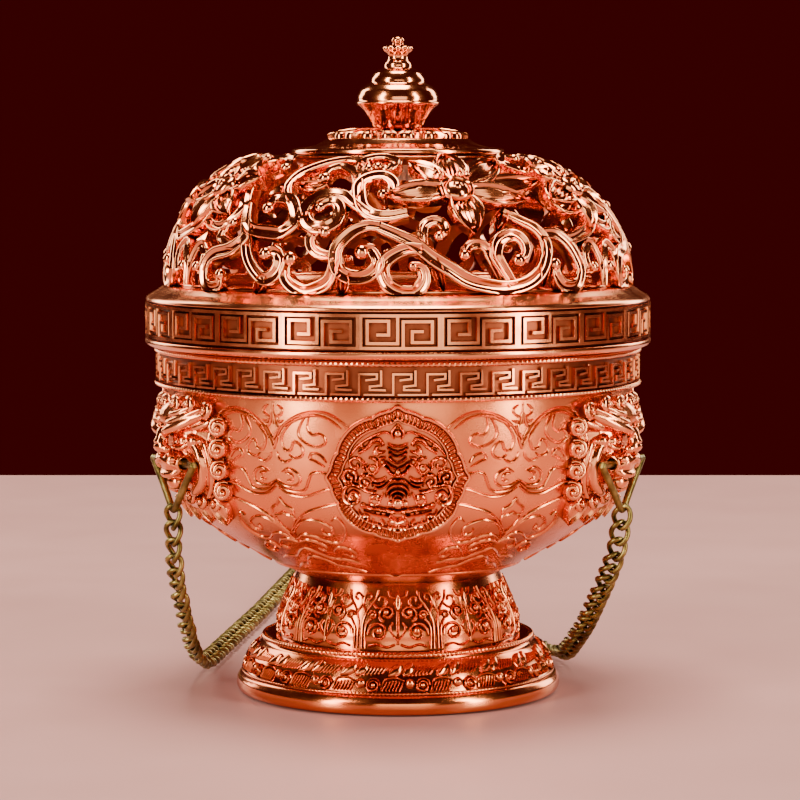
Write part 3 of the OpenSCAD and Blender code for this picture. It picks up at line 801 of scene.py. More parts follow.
# Relief of one half, mirrored: (across, up) from the centre, half-width, height
MEDALLION_LINES = [
    ([(-4.0, -2.6), (-5.8, -2.5), (-7.4, -1.7), (-9.0, -1.4), (-10.0, -2.3), (-10.1, -4.0),
      (-9.0, -5.2), (-7.7, -4.7), (-7.5, -3.5), (-8.4, -2.8), (-9.1, -3.5), (-8.7, -4.0)],
     0.5, 1.3),
    ([(-7.9, -0.6), (-7.8, 0.6), (-8.6, 1.5), (-9.7, 1.3), (-10.2, 0.4), (-9.8, -0.6),
      (-8.9, -0.7), (-8.6, 0.1), (-9.2, 0.5)], 0.42, 1.2),
    ([(-4.7, -1.5), (-5.0, 0.2), (-6.3, 0.6), (-7.1, -0.2), (-7.0, -1.2), (-6.2, -1.6),
      (-5.6, -1.0), (-6.1, -0.5)], 0.4, 1.1),
    ([(-5.9, 2.4), (-7.0, 3.5), (-8.3, 3.8), (-9.0, 2.9), (-8.4, 2.0), (-7.5, 2.1), (-7.5, 2.8)],
     0.38, 1.1),
    ([(-5.4, 4.0), (-4.3, 3.7), (-3.7, 2.6), (-4.0, 1.3), (-5.0, 1.0), (-5.6, 1.8), (-5.0, 2.5)],
     0.42, 1.2),
    ([(-2.6, 6.3), (-3.4, 7.4), (-4.7, 7.2), (-5.5, 6.2), (-6.4, 5.4), (-7.3, 4.9)], 0.42, 1.2),
    ([(-2.3, 5.2), (-3.3, 5.0), (-4.1, 5.6), (-3.6, 6.2)], 0.35, 1.0),
    ([(-2.2, 4.1), (-3.2, 3.9), (-3.5, 3.0), (-2.8, 2.5), (-2.2, 3.0), (-2.7, 3.4)], 0.32, 1.2),
    ([(-1.9, 6.8), (-1.0, 6.3), (0, 6.2)], 0.3, 1.2),
    ([(-2.0, 6.0), (-1.0, 5.4), (0, 5.2)], 0.3, 1.3),
    ([(-1.8, 5.1), (-0.9, 4.5), (0, 4.3)], 0.3, 1.4),
    ([(-1.7, 4.2), (-0.9, 3.4), (0, 3.0)], 0.32, 1.5),
    ([(-2.2, 3.3), (-1.3, 2.4), (0, 1.9)], 0.35, 1.5),
    ([(-2.3, 2.4), (-1.4, 1.1), (0, 0.4)], 0.38, 1.5),
    ([(-5.2, 0.6), (-4.3, -0.4), (-3.0, -0.3), (-2.2, 0.2)], 0.36, 1.2),
    ([(-4.6, -0.9), (-3.6, -1.2), (-2.4, -0.7)], 0.3, 1.2),
    ([(-4.3, -1.9), (-3.2, -1.9), (-2.3, -1.4), (-1.2, -0.4), (0, -0.3)], 0.34, 1.2),
    ([(-2.2, -3.5), (-1.7, -2.1), (-0.9, -1.4), (0, -1.2)], 0.34, 1.3),
    ([(-1.6, -3.7), (-1.1, -2.6), (0, -2.1)], 0.3, 1.45),
    ([(-1.0, -3.9), (-0.6, -3.2), (0, -2.9)], 0.26, 1.6),
    ([(-2.7, -3.0), (-3.4, -4.1), (-4.5, -3.8), (-5.1, -4.6), (-4.3, -5.2), (-3.5, -4.9)],
     0.4, 1.2),
    ([(-6.9, -5.4), (-5.5, -5.9), (-3.4, -6.2), (-1.6, -6.5), (0, -6.6)], 0.45, 1.5),
    ([(-6.4, -6.3), (-5.0, -7.0), (-3.2, -7.5), (-1.8, -7.6)], 0.32, 1.1),
    ([(-1.5, -7.0), (-1.3, -8.1), (0, -8.7)], 0.36, 1.3),
    ([(-7.4, -6.4), (-6.8, -7.6), (-5.7, -7.5), (-5.7, -8.6), (-6.5, -8.5)], 0.32, 1.0),
    ([(-4.6, -8.4), (-4.7, -9.5), (-3.6, -10), (-2.7, -9.3), (-3.2, -8.6)], 0.34, 1.0),
    ([(-1.8, -9.0), (-1.7, -10.0), (-0.8, -10.4), (0, -9.8)], 0.34, 1.1),
    ([(-0.7, 7.6), (-1.1, 8.6), (-0.6, 9.6), (0, 10.4)], 0.3, 1.3),
    ([(-9.0, 4.2), (-7.9, 5.7), (-6.4, 7.0), (-4.5, 8.1), (-2.6, 8.8), (-1.4, 8.6)], 0.3, 0.9),
    ([(-5.6, 5.6), (-4.9, 6.7), (-3.7, 7.0), (-2.9, 6.2)], 0.34, 1.1),
    ([(-7.2, 4.6), (-6.4, 5.6), (-6.8, 6.3), (-7.4, 5.7)], 0.3, 1.0),
    ([(-6.2, 1.4), (-6.5, 2.3), (-5.9, 3.1)], 0.34, 1.0),
]
MEDALLION_BOSSES = [((0, 8.6), 0.75, 0.9), ((0, -4.9), 1.15, 1.0), ((1.35, -5.1), 0.6, 0.8),
                    ((2.6, -7.0), 0.42, 0.6), ((3.7, -6.9), 0.42, 0.5), ((4.8, -6.6), 0.42, 0.5),
                    ((0, 1.2), 0.55, 1.1), ((6.6, -5.5), 0.5, 0.9), ((8.8, -3.7), 0.6, 0.8),
                    ((9.2, 0.4), 0.5, 0.8), ((0, -9.0), 0.5, 0.9), ((4.7, 1.9), 0.75, 0.8),
                    ((2.9, 3.2), 0.6, 0.9), ((4.3, -4.3), 1.1, 0.55), ((6.1, -0.7), 0.5, 0.9),
                    ((4.0, 5.0), 0.7, 0.7)]


def lobed(angle):
    """Radius of the plaque's edge: eight lobes, with a point on each of the four axes."""
    lobes = 11.9 + 0.65 * math.sqrt(abs(math.cos(4 * angle)))
    off_axis = (angle / (math.pi / 2) + 0.5) % 1 - 0.5
    return lobes + 0.7 * math.exp(-(off_axis * 90 / 4) ** 2)


def medallion():
    """The front plaque: a lobed plate with a ridged border and mirrored relief."""
    shape = Shape()
    centre = bowl_wall.up(medallion_z)
    steps = 480
    profile = [(0.0, 0.8), (0.4, 0.8), (0.77, 0.8), (0.785, 1.3), (0.8, 1.35), (0.815, 1.0),
               (0.84, 1.05), (0.92, 1.05), (0.935, 0.9), (0.95, 1.3), (0.975, 1.4), (0.99, 1.2),
               (1.0, 0.4), (1.0, -0.5)]
    a = circle(steps)
    edge = np.array([lobed(x) for x in a])
    share = np.array([max(s, 0.002) for s, _ in profile])
    lift = np.repeat(np.array([h for _, h in profile])[None, :], steps, 0)
    # radial ridges on the border
    ridges = 96
    ridged = (share > 0.83) & (share < 0.925)
    lift = lift + ridged[None, :] * 0.35 * np.cos(ridges * a)[:, None]
    x = edge[:, None] * share[None, :] * np.sin(a)[:, None]
    v = centre + edge[:, None] * share[None, :] * np.cos(a)[:, None]
    verts = bowl_wall.place(x / (RAD * bowl_wall.radius(v)), v, lift)
    n = len(profile)
    faces = grid(steps, n, True) + [[k * n for k in range(steps)],
                                    [k * n + n - 1 for k in range(steps)]]
    shape.add(verts, faces)
    # the relief is drawn a little smaller, inside the ridged border
    inset = 0.94
    for line, half, height in MEDALLION_LINES:
        for mirror in (-1, 1):
            path = spline(laid(bowl_wall, 0, np.array(line) * inset, centre, mirror), 5)
            width = 1.22 * half * taper(len(path), (0.6, 0.8), 0.2)
            ribbon(shape, bowl_wall, path, LINE, width, height, 0.65)
    for at, radius, flat in MEDALLION_BOSSES:
        for mirror in (-1, 1) if at[0] else (1,):
            place = laid(bowl_wall, 0, np.array([at]) * inset, centre, mirror)[0]
            bulb(shape, bowl_wall, place, radius, 1.0, flat, 7, 12)
    return shape


def medallions():
    plaque = medallion()
    for name, azimuth in medallion_azimuths.items():
        piece("medallion_plaque_" + name, plaque.turned(azimuth), "root", cast,
              ("medallion_" + name,), sharp=45)


# ---------------------------------------------------------------- lion masks

def fused(shape, voxel):
    """The outside of overlapping closed solids as one skin."""
    obj = mesh_object("fuse", shape)
    remesh = obj.modifiers.new("skin", "REMESH")
    remesh.mode = "VOXEL"
    remesh.voxel_size = voxel * MM
    soften = obj.modifiers.new("soften", "SMOOTH")
    soften.factor, soften.iterations = 0.5, 2
    done = obj.evaluated_get(bpy.context.evaluated_depsgraph_get())
    mesh = bpy.data.meshes.new_from_object(done)
    out = Shape()
    co = np.zeros(len(mesh.vertices) * 3)
    mesh.vertices.foreach_get("co", co)
    out.add(co.reshape(-1, 3) / MM, [tuple(f.vertices) for f in mesh.polygons])
    bpy.data.objects.remove(obj)
    bpy.data.meshes.remove(mesh)
    return out


def face_point(across, r, z):
    """Across, out and up on a mask that faces the front."""
    return (across, -r, z)


def strand(shape, points, radius, ends, both=True):
    """Tapered lock or ridge through (across, out, up) points, on both sides of the face."""
    for mirror in (-1, 1) if both else (1,):
        path = spline([face_point(mirror * t, r, z) for t, r, z in points], 6)
        tube(shape, path, radius * taper(len(path), ends, 0.3), 10)


def lump(shape, at, radii, both=True, rings=12, sides=18):
    """Ellipsoid at (across, out, up), on both sides of the face."""
    for mirror in (-1, 1) if both else (1,):
        ball(shape, face_point(mirror * at[0], at[1], at[2]), radii, rings, sides)


def curl(shape, centre, r, radius, wire, turns, start, sense, rise=0.8, yaw=0.0):
    """Spiral lock that rises towards its middle, turned yaw degrees to the mask's side."""
    flat = spiral((0, 0), radius, turns, start, sense, 0.22)
    rises = np.linspace(0, rise, len(flat))
    out, side = math.cos(yaw * RAD), math.sin(yaw * RAD)
    points = [(centre[0] + x * out + up * side, r - x * side + up * out, centre[1] + z)
              for (x, z), up in zip(flat, rises)]
    for mirror in (-1, 1):
        path = np.array([face_point(mirror * t, d, z) for t, d, z in points])
        tube(shape, path, wire * taper(len(path), (0.5, 0.8), 0.15), 8)
        ball(shape, path[-1], (wire * 1.05,) * 3, 8, 10)


def lion_face():
    """Head, brow, nose, lips, cheeks and chin, fused to one skin."""
    s = Shape()
    lump(s, (0, 42.6, 48.2), (11.4, 3.4, 10.6), False)
    lump(s, (0, 42.4, 51.8), (8.2, 6.7, 7.4), False)
    lump(s, (0, 45.6, 55.4), (4.9, 5.3, 3.9), False)
    lump(s, (0, 47.4, 47.0), (4.5, 3.1, 3.1), False)
    # brow: three strands sweep up and out on each side
    strand(s, [(0.9, 50.4, 52.6), (2.6, 50.6, 53.3), (4.8, 49.6, 54.2), (7.0, 47.8, 55.4),
               (9.2, 45.8, 56.6)], 0.95, (0.9, 0.45))
    strand(s, [(1.6, 50.6, 54.6), (3.6, 50.2, 55.0), (6.0, 48.8, 56.0), (8.4, 46.8, 57.4)],
           0.62, (0.6, 0.5))
    strand(s, [(2.2, 50.2, 56.2), (4.2, 49.6, 56.5), (6.4, 48.2, 57.6)], 0.55, (0.6, 0.5))
    strand(s, [(6.4, 47.6, 53.6), (8.4, 46.4, 54.4), (10.4, 45.2, 55.2)], 0.7, (0.7, 0.5))
    # eyes
    lump(s, (3.3, 47.9, 51.2), (1.35, 1.25, 1.1))
    strand(s, [(1.9, 49.0, 50.6), (3.2, 49.3, 50.0), (4.8, 48.6, 50.2), (5.6, 47.6, 51.2)],
           0.5, (0.7, 0.5))
    lump(s, (5.7, 47.0, 51.3), (1.4, 1.3, 1.2))
    # nose
    strand(s, [(0, 50.2, 53.4), (0, 50.6, 52.0), (0, 51.0, 50.6)], 1.25, (0.8, 1.2), both=False)
    lump(s, (0, 50.9, 50.0), (1.9, 1.35, 1.15), False)
    lump(s, (1.55, 50.5, 49.6), (0.95, 1.0, 0.8))
    # lips, chin and the eyelets of the mouth's corners
    lump(s, (1.7, 49.6, 47.7), (1.75, 1.55, 1.25))
    strand(s, [(0, 51.1, 48.0), (2.2, 50.6, 47.1), (3.6, 49.3, 46.4)], 0.5, (0.8, 0.6))
    strand(s, [(0, 50.0, 44.7), (1.7, 49.6, 44.9), (3.2, 48.5, 45.4)], 0.72, (1, 0.6))
    lump(s, (0, 47.6, 43.3), (2.3, 1.9, 1.7), False)
    for mirror in (-1, 1):
        a = circle(24)
        hole = [face_point(mirror * 4.35, pin_r + 1.3 * math.cos(x), pin_z + 1.3 * math.sin(x))
                for x in a]
        tube(s, hole, 0.42, 8, True, start=(1, 0, 0))
    # cheeks
    strand(s, [(4.9, 47.6, 51.0), (6.9, 46.8, 49.6), (7.8, 46.2, 46.8), (7.3, 45.9, 43.9),
               (5.2, 46.2, 41.9), (3.2, 46.0, 41.2)], 1.15, (0.5, 0.5))
    strand(s, [(6.0, 46.3, 51.8), (8.3, 45.8, 50.4), (9.3, 45.2, 47.0), (8.8, 44.6, 43.4),
               (6.8, 44.6, 40.6)], 0.75, (0.5, 0.5))
    return fused(s, 0.2)


def mask():
    """Lion mask facing the front: face, mane, beard and the collar that lies on the bowl."""
    shape = lion_face()
    # row of locks over the forehead
    for t, z, r in ((2.0, 57.8, 48.5), (5.6, 57.8, 47.5), (9.2, 56.9, 45.8)):
        curl(shape, (t, z), r, 1.65, 0.68, 1.35, 200, -1)
    # ringlets down each side
    for k, z in enumerate((54.2, 50.2, 46.2, 42.3)):
        t = 10.9 - 0.25 * k
        r = 45.0 - (0, 0.1, 0.5, 1.4)[k]
        lump(shape, (t - 0.4, r - 1.2, z), (2.0, 1.9, 2.0))
        curl(shape, (t + 0.5, z), r - 0.3, 1.7, 0.62, 1.6, 60, 1, 1.3, 48)
    # beard: small curls round the jaw
    for t, z, r in ((1.5, 40.4, 45.2), (4.4, 39.7, 44.4), (7.2, 39.4, 43.0)):
        curl(shape, (t, z), r, 1.4, 0.58, 1.3, 120, -1)
    # teeth under the lip
    for t in (0.75, 2.1):
        lump(shape, (t, 49.7 - 0.2 * t, 46.1), (0.5, 0.5, 0.75), True, 8, 10)
    # flat collar on the wall
    collar = bowl_wall.up(36.4)
    for t, half in ((-6.6, 2.4), (6.6, 2.4), (-2.3, 2.5), (2.3, 2.5)):
        tip = laid(bowl_wall, 0, [(t * 1.12, collar)])[0]
        base = laid(bowl_wall, 0, [(t, collar + 5.2)])[0]
        leaf(shape, bowl_wall, base, tip, half, 0.9)
    keep_outside(shape)
    return shape


def keep_outside(shape):
    """Press what sinks too deep into the bowl's wall out again, so that none shows inside."""
    depth = 0.9
    wall_r, wall_z = np.array(bowl_curve).T
    for verts in shape.verts:
        least = np.interp(verts[:, 2], wall_z, wall_r) - depth
        grow = np.maximum(least / np.hypot(verts[:, 0], verts[:, 1]), 1)
        verts[:, :2] *= grow[:, None]


def masks():
    face = mask()
    for name, azimuth in mask_azimuths.items():
        piece("lion_mask_" + name, face.turned(azimuth), "root", cast, ("mask_" + name,), sharp=60)


bowl()
pedestal()
foot()
medallions()
masks()

# ---------------------------------------------------------------- lid

def dome_curve():
    """Superellipse from the shoulder to the flat under the crown."""
    height, power = 28.5, 2.25
    h = np.linspace(0, dome_top - rim_top, 60)
    return np.stack([dome_r * (1 - (h / height) ** power) ** (1 / power), rim_top + h], -1)


dome_wall = Wall(dome_curve())

# Vines of one third, from root to tip: name, half-width, radius of the ball at its tip, and
# the (azimuth, v) points on the dome. The slim ones lie lower.
WIDE, SLIM = 1.32, 1.05
VINES = {
    "stem": (1.42, 0, [(-4.5, 12), (0, 10.5), (4, 9), (8, 6.5), (12, 4.5), (16, 2.5), (20.5, 1.5),
        (26, 1), (32, 2), (36, 4.5), (38, 8.5), (36, 11.5), (31.5, 13.5), (28, 15)]),
    "great_spiral": (WIDE, 1.35, [(-4.5, 12.2), (-8, 12.3), (-11.5, 11), (-14.5, 8), (-14, 4.5),
        (-10.5, 3), (-6.5, 3.5), (-4.5, 5.5), (-6.2, 7.9), (-8.5, 7.5)]),
    "inner_right": (WIDE, 1.25, [(27.5, 1.5), (25, 4.5), (23.5, 7), (25, 9.5), (28.5, 10.5),
        (31, 9.5), (31.5, 7.5), (29.5, 5.8)]),
    "inner_left": (WIDE, 0.9, [(5.5, 8), (2, 8), (-2, 6.5), (-3.5, 4.5), (-2.5, 2), (0.5, 0.5),
        (4, 0.5), (6, 2.5), (5.5, 4.5), (3.5, 5)]),
    "sprig": (SLIM, 1.0, [(6.5, 8), (6, 10.5), (6.5, 12.5), (9, 13.5), (11, 13), (11.5, 11.5),
        (10, 10.5)]),
    "hook": (SLIM, 1.1, [(24.5, 2.5), (22.5, 6), (21.5, 8), (19.5, 9), (17, 8.5), (16, 7)]),
    "upper_spiral": (WIDE, 1.1, [(2.5, 15), (-2, 14.3), (-6, 14.5), (-9, 16), (-10.5, 19),
        (-11, 22), (-8.5, 24), (-4.5, 24.5), (-1.5, 22.5), (-1.5, 20), (-4, 19.5)]),
    "left_spiral": (WIDE, 1.0, [(-7.5, 14.9), (-12.5, 17.5), (-15, 19), (-19, 19.5), (-22.5, 18.5),
        (-24.5, 16.5), (-24.5, 14.5), (-22.5, 12.5), (-19, 12), (-16, 13), (-15, 15), (-16, 17),
        (-18.5, 17.5), (-20.6, 16.3)]),
    "upper_curl": (SLIM, 1.2, [(-12, 18.5), (-11.5, 21.5), (-13.5, 25.5), (-18.5, 28),
        (-22.5, 27.5), (-23.5, 24.5)]),
    "small_ring": (SLIM, 1.15, [(-15, 6.8), (-18, 7), (-20.5, 8), (-21.5, 10), (-20, 11.5),
        (-18, 11.3)]),
    "low_arc": (WIDE, 1.35, [(-14.6, 6), (-16, 2.5), (-19, 1), (-22.5, 0.5), (-26, 2), (-27, 4),
        (-26, 6.2)]),
    "far_stem": (WIDE, 1.2, [(-43.5, 16.5), (-40.5, 11.5), (-39.5, 9.5), (-38, 6.5), (-35.5, 4),
        (-32.5, 2.5), (-29.5, 3.5), (-28.5, 6), (-30.5, 7.5), (-33, 7)]),
    "far_loop": (WIDE, 1.2, [(-41.5, 13), (-38.5, 11.5), (-33.5, 11), (-29.5, 11), (-26.5, 13),
        (-27.5, 15.5), (-30.5, 18), (-35, 18), (-36.2, 16)]),
    "edge_spiral": (WIDE, 1.1, [(-40, 10.5), (-40.5, 9.5), (-44.5, 7.5), (-50, 6.5), (-52.5, 4.5),
        (-52.5, 2), (-50.5, 0.5), (-47, 1), (-46.5, 3)]),
    "edge_sprig": (SLIM, 1.0, [(-41.5, 8.2), (-46, 8.7), (-49, 10), (-48.5, 12), (-46.5, 13)]),
    "right_spiral": (WIDE, 1.2, [(37.5, 10.6), (42, 10.5), (45.5, 8.5), (47.5, 6), (48.5, 3.5),
        (46.5, 1), (42.5, 1), (40, 3), (39.9, 5)]),
    "side_spiral": (WIDE, 1.1, [(46, 9.5), (50, 10), (56, 11.5), (60, 14), (61, 18), (57.5, 21),
        (52, 21.5), (48, 19), (49, 16), (53, 15.5), (55.5, 17.5)]),
    "side_branch": (SLIM, 0, [(60.5, 15), (64, 12.5), (69, 12), (73, 14), (75.5, 17.5)]),
    "fork_left": (SLIM, 1.1, [(58.5, 0.8), (58, 4.5), (55, 8.6), (51.5, 7), (52, 4), (54.6, 4.2)]),
    "fork_right": (SLIM, 1.1, [(58.5, 0.8), (59.5, 4.5), (62.5, 8.2), (66, 6.8), (65.4, 3.8),
        (62.8, 4.2)]),
    "top_left": (SLIM, 1.1, [(-30.5, 18), (-34, 22), (-33, 26), (-28, 29), (-23, 30.5), (-18, 31),
        (-13, 30.2), (-10, 27.6)]),
    "top_spiral": (SLIM, 1.0, [(-9.5, 24.5), (-13, 28), (-11.5, 31.4), (-5, 32.3), (-0.5, 30),
        (-3, 27.4), (-7, 28.4)]),
    "top_right": (SLIM, 1.1, [(58, 21.4), (54, 25.5), (46, 27), (42, 30), (47, 32.6), (54, 31.8)]),
    "bridge": (SLIM, 1.1, [(75, 17.5), (70, 22.5), (63, 24.5), (60, 28), (66, 31.5), (74, 31),
        (77, 28)]),
}
# Leaves on the vines: base, tip, half-width, lift and sideways bend
VINE_LEAVES = [((-12.4, 3.4), (-12.9, -0.4), 1.3, 0.2, 0), ((8.3, 6.2), (10.5, 0.4), 1.2, 0, 0),
               ((-33, 3), (-35, -0.4), 1.2, 0, 0), ((38, 8), (35.5, 0.8), 1.2, 0, 0),
               ((-21, 22), (-30, 21.5), 1.5, 0.3, 0.6), ((28.5, 15.5), (24, 10.8), 1.3, 0.2, 0)]
FLOWER_AT = np.array([16.4, 20.0])
# tip of each petal (azimuth, v), half-width and lift
PETALS = [((18, 32), 3.3, 0.4), ((3.5, 28.5), 2.3, 0.5), ((-3.5, 18.2), 2.6, 0.7),
          ((18.5, 10.4), 3.1, 0.9), ((36, 17), 2.6, 0.8), ((47, 22.5), 2.5, 0.2),
          ((37, 29.5), 2.9, 0.4)]


def flower(shape, centre, petals, boss=3.0):
    for tip, half, lift in petals:
        tip = np.array(tip, float)
        base = centre + (tip - centre) * 0.16
        leaf(shape, dome_wall, base, tip, half, lift, rise=0.7)
    for side in (-1, 1):
        at = centre + np.array([side * 3.4, 4.0])
        path = laid(dome_wall, at[0], spiral((0, 0), 1.15, 1.2, 270), at[1], side)
        ribbon(shape, dome_wall, path, LINE, 0.42, 0.8, 1.2)
    turn = circle(28)
    rim = np.stack([centre[0] + 0.92 * boss * np.cos(turn) / (RAD * dome_wall.radius(centre[1])),
                    centre[1] + 0.8 * boss * np.sin(turn)], -1)
    ribbon(shape, dome_wall, rim, LINE, 0.5, 0.7, 1.6, closed=True)
    bulb(shape, dome_wall, centre, 0.85 * boss, 1.1, 0.55, 9, 24)
    bulb(shape, dome_wall, centre, 0.35 * boss, 2.0, 0.8)


def dome():
    third = Shape()
    for half, tip_ball, points in VINES.values():
        path = spline(points, 7)
        lift = 0.15 if half == SLIM else 0.45
        width = half * taper(len(path), (0.75, 0.62), 0.25)
        ribbon(third, dome_wall, path, VINE, width, 1.0, lift)
        if tip_ball:
            bulb(third, dome_wall, path[-1], tip_ball, lift, 0.85, 9, 16)
    for base, tip, half, lift, bend in VINE_LEAVES:
        leaf(third, dome_wall, base, tip, half, lift, bend=bend)
    flower(third, FLOWER_AT, PETALS)
    # a second flower between two repeats, smaller and turned
    second = np.array([-60.0, 20.5])
    tips = []
    for k in range(6):
        a = 2 * math.pi * (k + 0.3) / 6
        tips.append(((second[0] + 9.4 * math.cos(a) / (RAD * 36), second[1] + 9.4 * math.sin(a)),
                     2.9, 0.5))
    flower(third, second, tips, 2.6)
    shape = third.turned(0, 120, 240)
    # foot ring of the tracery, and the ring that carries the crown
    foot_ring = [(43.9, 79.1), (43.9, 79.8), (43.4, 80.1), (42.9, 79.8), (42.9, 79.1)]
    revolve(shape, fillet(foot_ring, 0.25), 192)
    carrier = [(25.2, 103.4), (25.6, 103.75), (24.4, 104), (1.8, 104), (1.8, 102.2),
               (22.5, 102.2)]
    revolve(shape, fillet(carrier, 0.2), 144)
    piece("dome_tracery", shape, "lid", polished, ("lid_dome",), sharp=60)


# Square keys of the lid's rim, two to a repeat, and the lines of the bowl's meander: (along, up)
KEY_A = [(4.65, 3.0), (2.6, 3.0), (2.6, 1.05), (6.2, 1.05), (6.2, 4.75), (0.97, 4.75),
         (0.97, 0), (7.46, 0), (7.46, 5.8), (0, 5.8)]
KEY_B = [(2.8, 2.4), (5.0, 2.4), (5.0, 4.85), (1.16, 4.85), (1.16, 0.87), (6.6, 0.87),
         (6.6, 5.8), (0, 5.8), (0, 0), (7.75, 0)]


def resample(points):
    """Break long straight runs so that they follow a round wall."""
    step = 1.2
    out = []
    for a, b in zip(points, points[1:]):
        a, b = np.asarray(a, float), np.asarray(b, float)
        n = max(1, int(np.linalg.norm(b - a) / step))
        out += [a + (b - a) * t / n for t in range(n)]
    return np.array(out + [np.asarray(points[-1], float)])


def keys(shape, wall, lines, units, r, up, half, height):
    """Repeat key lines round a wall of radius r; each is (points, millimetres further round)."""
    for k in range(units):
        for line, offset in lines:
            path = resample(line)
            azimuth = k * 360 / units + (path[:, 0] + offset) / (RAD * r)
            ribbon(shape, wall, np.stack([azimuth, path[:, 1] + up], -1), KEY, half, height)


def painted_shade_ring(name, body, inner, outer, low, high):
    """Painted shade: a thin dark ring between the keys, just proud of the recess they stand in."""
    shape = Shape()
    revolve(shape, [(inner, low), (outer, low), (outer, high), (inner, high)], 288)
    piece(name, shape, body, painted_shade_copper)


def lid_rim():
    shape = Shape()
    outline = [(45.7, 67.55), (48.3, 67.65), (48.95, 68.3), (48.85, 69.0), (47.95, 69.2),
               (47.95, 76.1), (48.75, 76.3), (48.55, 76.9), (48.0, 77.3), (46.6, 78.1),
               (45.4, 79.0), (44.9, 79.2), (42.9, 79.2), (42.9, 77.6), (46.8, 75.2),
               (46.8, 70.4), (41.6, 69), (41.6, 64.5), (42.9, 64.5), (42.9, 67.55)]
    revolve(shape, fillet(outline, 0.22), 288)
    wall = Wall([(47.95, 69.3), (47.95, 76.2)])
    keys(shape, wall, ((KEY_A, 0.0), (KEY_B, 8.04)), 21, 49, 0.5, 0.41, 0.9)
    piece("lid_rim_band", shape, "lid", cast, ("lid_rim",), sharp=28)
    # painted shade: dark ring in the recess behind the lid's keys
    painted_shade_ring("lid_key_painted_shade", "lid", 47.7, 47.99, 69.25, 76.1)


MEANDER = [[(0, 0), (5.35, 0), (5.35, 3.7), (8.6, 3.7), (8.6, 2.85), (6.5, 2.6)],
           [(9.35, 4.4), (9.35, 1.7), (7.3, 1.5), (7.3, 0.9), (10.2, 0.85)]]


def key_band():
    shape = Shape()
    outline = [(45.3, 59.9), (46.3, 59.9), (46.9, 60.3), (46.7, 60.8), (46.1, 61.0),
               (46.1, 66.3), (46.7, 66.5), (46.95, 66.8), (46.6, 67.45), (45.3, 67.5)]
    revolve(shape, fillet(outline, 0.2), 288)
    rope(shape, 46.75, 60.45, 0.36, 300)
    rope(shape, 46.75, 66.75, 0.36, 300)
    wall = Wall([(46.1, 61.2), (46.1, 66)])
    keys(shape, wall, [(line, 0.0) for line in MEANDER], 48, 47.1, 0.15, 0.29, 0.8)
    piece("bowl_key_band", shape, "root", cast, ("key_band",), sharp=28)
    # painted shade: dark ring in the recess behind the bowl's meander
    painted_shade_ring("bowl_key_painted_shade", "root", 45.8, 46.14, 61.05, 66.3)


def crown():
    shape = Shape()
    outline = [(1.8, 104.02), (20.2, 104.02), (20.5, 104.4), (20.4, 105.1), (19.6, 105.3),
               (17.5, 105.55), (15.4, 106.1), (14.1, 106.9), (13.7, 107.2), (10, 107.5),
               (6.2, 108.2), (5.4, 108.6), (1.8, 108.6)]
    revolve(shape, fillet(outline, 0.25), 192)
    wall = Wall([(14.0, 106.9), (13.2, 107.3), (10, 107.6), (6.2, 108.2), (4.6, 108.6)])
    for k in range(9):
        a = k * 40
        leaf(shape, wall, (a, 8.8), (a, 0.5), 1.5, 0.1, rise=0.5, height=0.8)
        for s in (-1, 1):
            path = laid(wall, a + 20, spiral((2.1, 2.9), 1.9, 1.4, 190, -1), 0, s)
            ribbon(shape, wall, path, LINE, 0.5, 0.9)
            bulb(shape, wall, path[-1], 0.7, 0.3, 0.9, 6, 10)
            path = laid(wall, a + 20, spiral((0.9, 6.3), 1.0, 1.2, 200, 1), 0, s)
            ribbon(shape, wall, path, LINE, 0.4, 0.8)
    piece("crown_disc", shape, "lid", polished, ("lid_crown",), sharp=60)


def finial():
    shape = Shape()
    z = crown_top
    profile = [(0, 0), (3.5, 0), (3.9, 0.3), (4.8, 1.1), (5.4, 1.9), (6.0, 2.9), (6.7, 4.0),
               (7.7, 4.9), (8.15, 5.25), (8.1, 5.6), (7.75, 5.75), (7.8, 6.6), (7.3, 7.9),
               (6.4, 8.7), (5.9, 9.0), (5.2, 9.2), (5.15, 10.1), (4.5, 11.2), (3.4, 11.9),
               (2.6, 12.1), (2.6, 13.0), (2.0, 13.7), (1.85, 14.3), (2.1, 15.0), (2.75, 15.6),
               (2.75, 16.2), (1.7, 16.6), (0.95, 16.8), (1.3, 17.4), (0.95, 18.05), (0, 18.3)]
    points = fillet([(r, z + h) for r, h in profile], 0.4, 5)[2:-2]
    points[0, 0] = points[-1, 0] = 0
    steps = 160
    a = circle(steps)[:, None]
    h = points[:, 1] + 0 * a
    # eight small petals round the bud
    r = points[:, 0] + np.where((h > z + 15.2) & (h < z + 16.4), 0.14 * np.cos(8 * a), 0)
    verts = np.stack([r * np.sin(a), -r * np.cos(a), h], -1)
    shape.add(verts, grid(steps, len(points), True))
    piece("finial_knob", shape, "lid", polished, ("finial",), sharp=45, merge=True)


dome()
lid_rim()
key_band()
crown()
finial()

# ---------------------------------------------------------------- carried-over CAD nodes

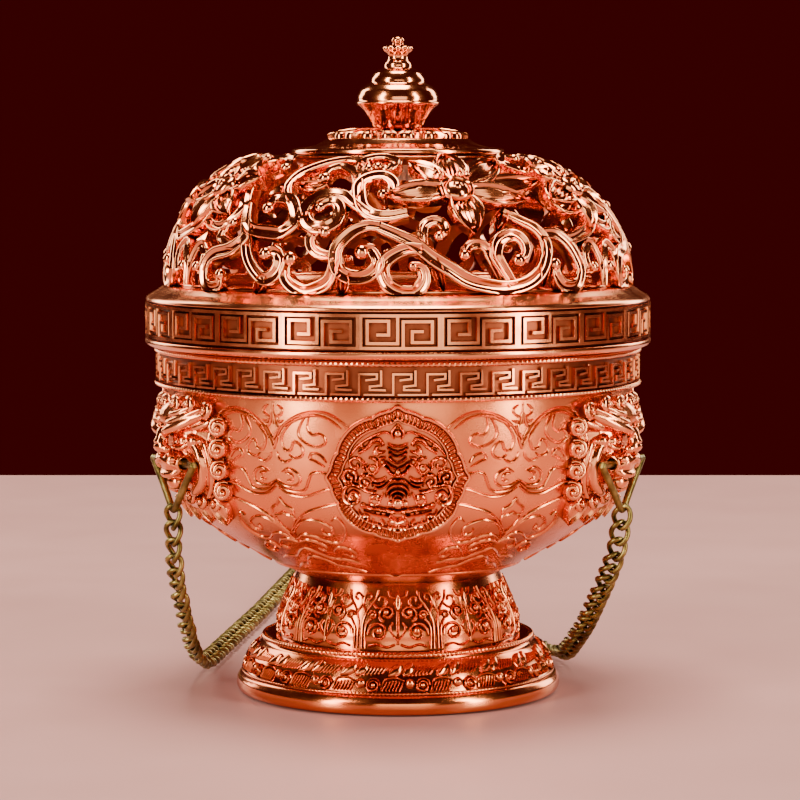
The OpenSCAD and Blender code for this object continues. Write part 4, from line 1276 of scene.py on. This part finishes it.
for name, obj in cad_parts.items():
    material = cast
    if any(word in name for word in ("screw", "washer", "nut", "rivet")):
        material = steel
    elif name == "ember_pan":
        material = pan_copper
    obj.data.materials.clear()
    obj.data.materials.append(material)

# ---------------------------------------------------------------- floor, light and world

def floor():
    """Table top with round corners, in metres, wide enough for every view."""
    side, front, back, corner = 0.7, -0.66, 0.378, 0.2
    bm = bmesh.new()
    outline = []
    for k, (x, y) in enumerate(((side, back), (-side, back), (-side, front), (side, front))):
        for t in np.linspace(0, 90, 13):
            a = (90 * k + t) * RAD
            outline.append((x - math.copysign(corner, x) + corner * math.cos(a),
                            y - math.copysign(corner, y) + corner * math.sin(a), 0))
    bm.faces.new([bm.verts.new(p) for p in outline])
    mesh = bpy.data.meshes.new("floor")
    bm.to_mesh(mesh)
    bm.free()
    obj = bpy.data.objects.new("floor", mesh)
    mesh.materials.append(table())
    bpy.context.scene.collection.objects.link(obj)


warm = (1.0, 0.9, 0.71)


def softbox(name, at, size, power, aim=(0, 0, 0.06)):
    light = bpy.data.lights.new(name, "AREA")
    light.shape = "RECTANGLE"
    light.size, light.size_y = size
    light.energy = power
    light.color = warm
    obj = bpy.data.objects.new(name, light)
    obj.location = at
    obj.rotation_euler = (Vector(aim) - Vector(at)).to_track_quat("-Z", "Y").to_euler()
    bpy.context.scene.collection.objects.link(obj)


floor()
softbox("key_left", (-0.75, -0.7, 0.36), (0.19, 1.05), 17, (0, 0, 0.2))
softbox("key_right", (0.8, -0.55, 0.32), (0.16, 1.0), 14.5, (0, 0, 0.2))
softbox("overhead", (0.0, 0.05, 0.9), (0.42, 0.42), 13)
softbox("front_low", (0.1, -1.1, 0.14), (0.8, 0.5), 3.4, (0, 0, 0.1))
softbox("rim_left", (-0.6, 0.6, 0.4), (0.3, 0.6), 5)
softbox("rim_right", (0.6, 0.6, 0.4), (0.3, 0.6), 5)

world = bpy.data.worlds.new("studio")
bpy.context.scene.world = world
world.use_nodes = True
world.node_tree.nodes["Background"].inputs["Color"].default_value = (0.047, 0.0008, 0.001, 1)
world.node_tree.nodes["Background"].inputs["Strength"].default_value = 1.0
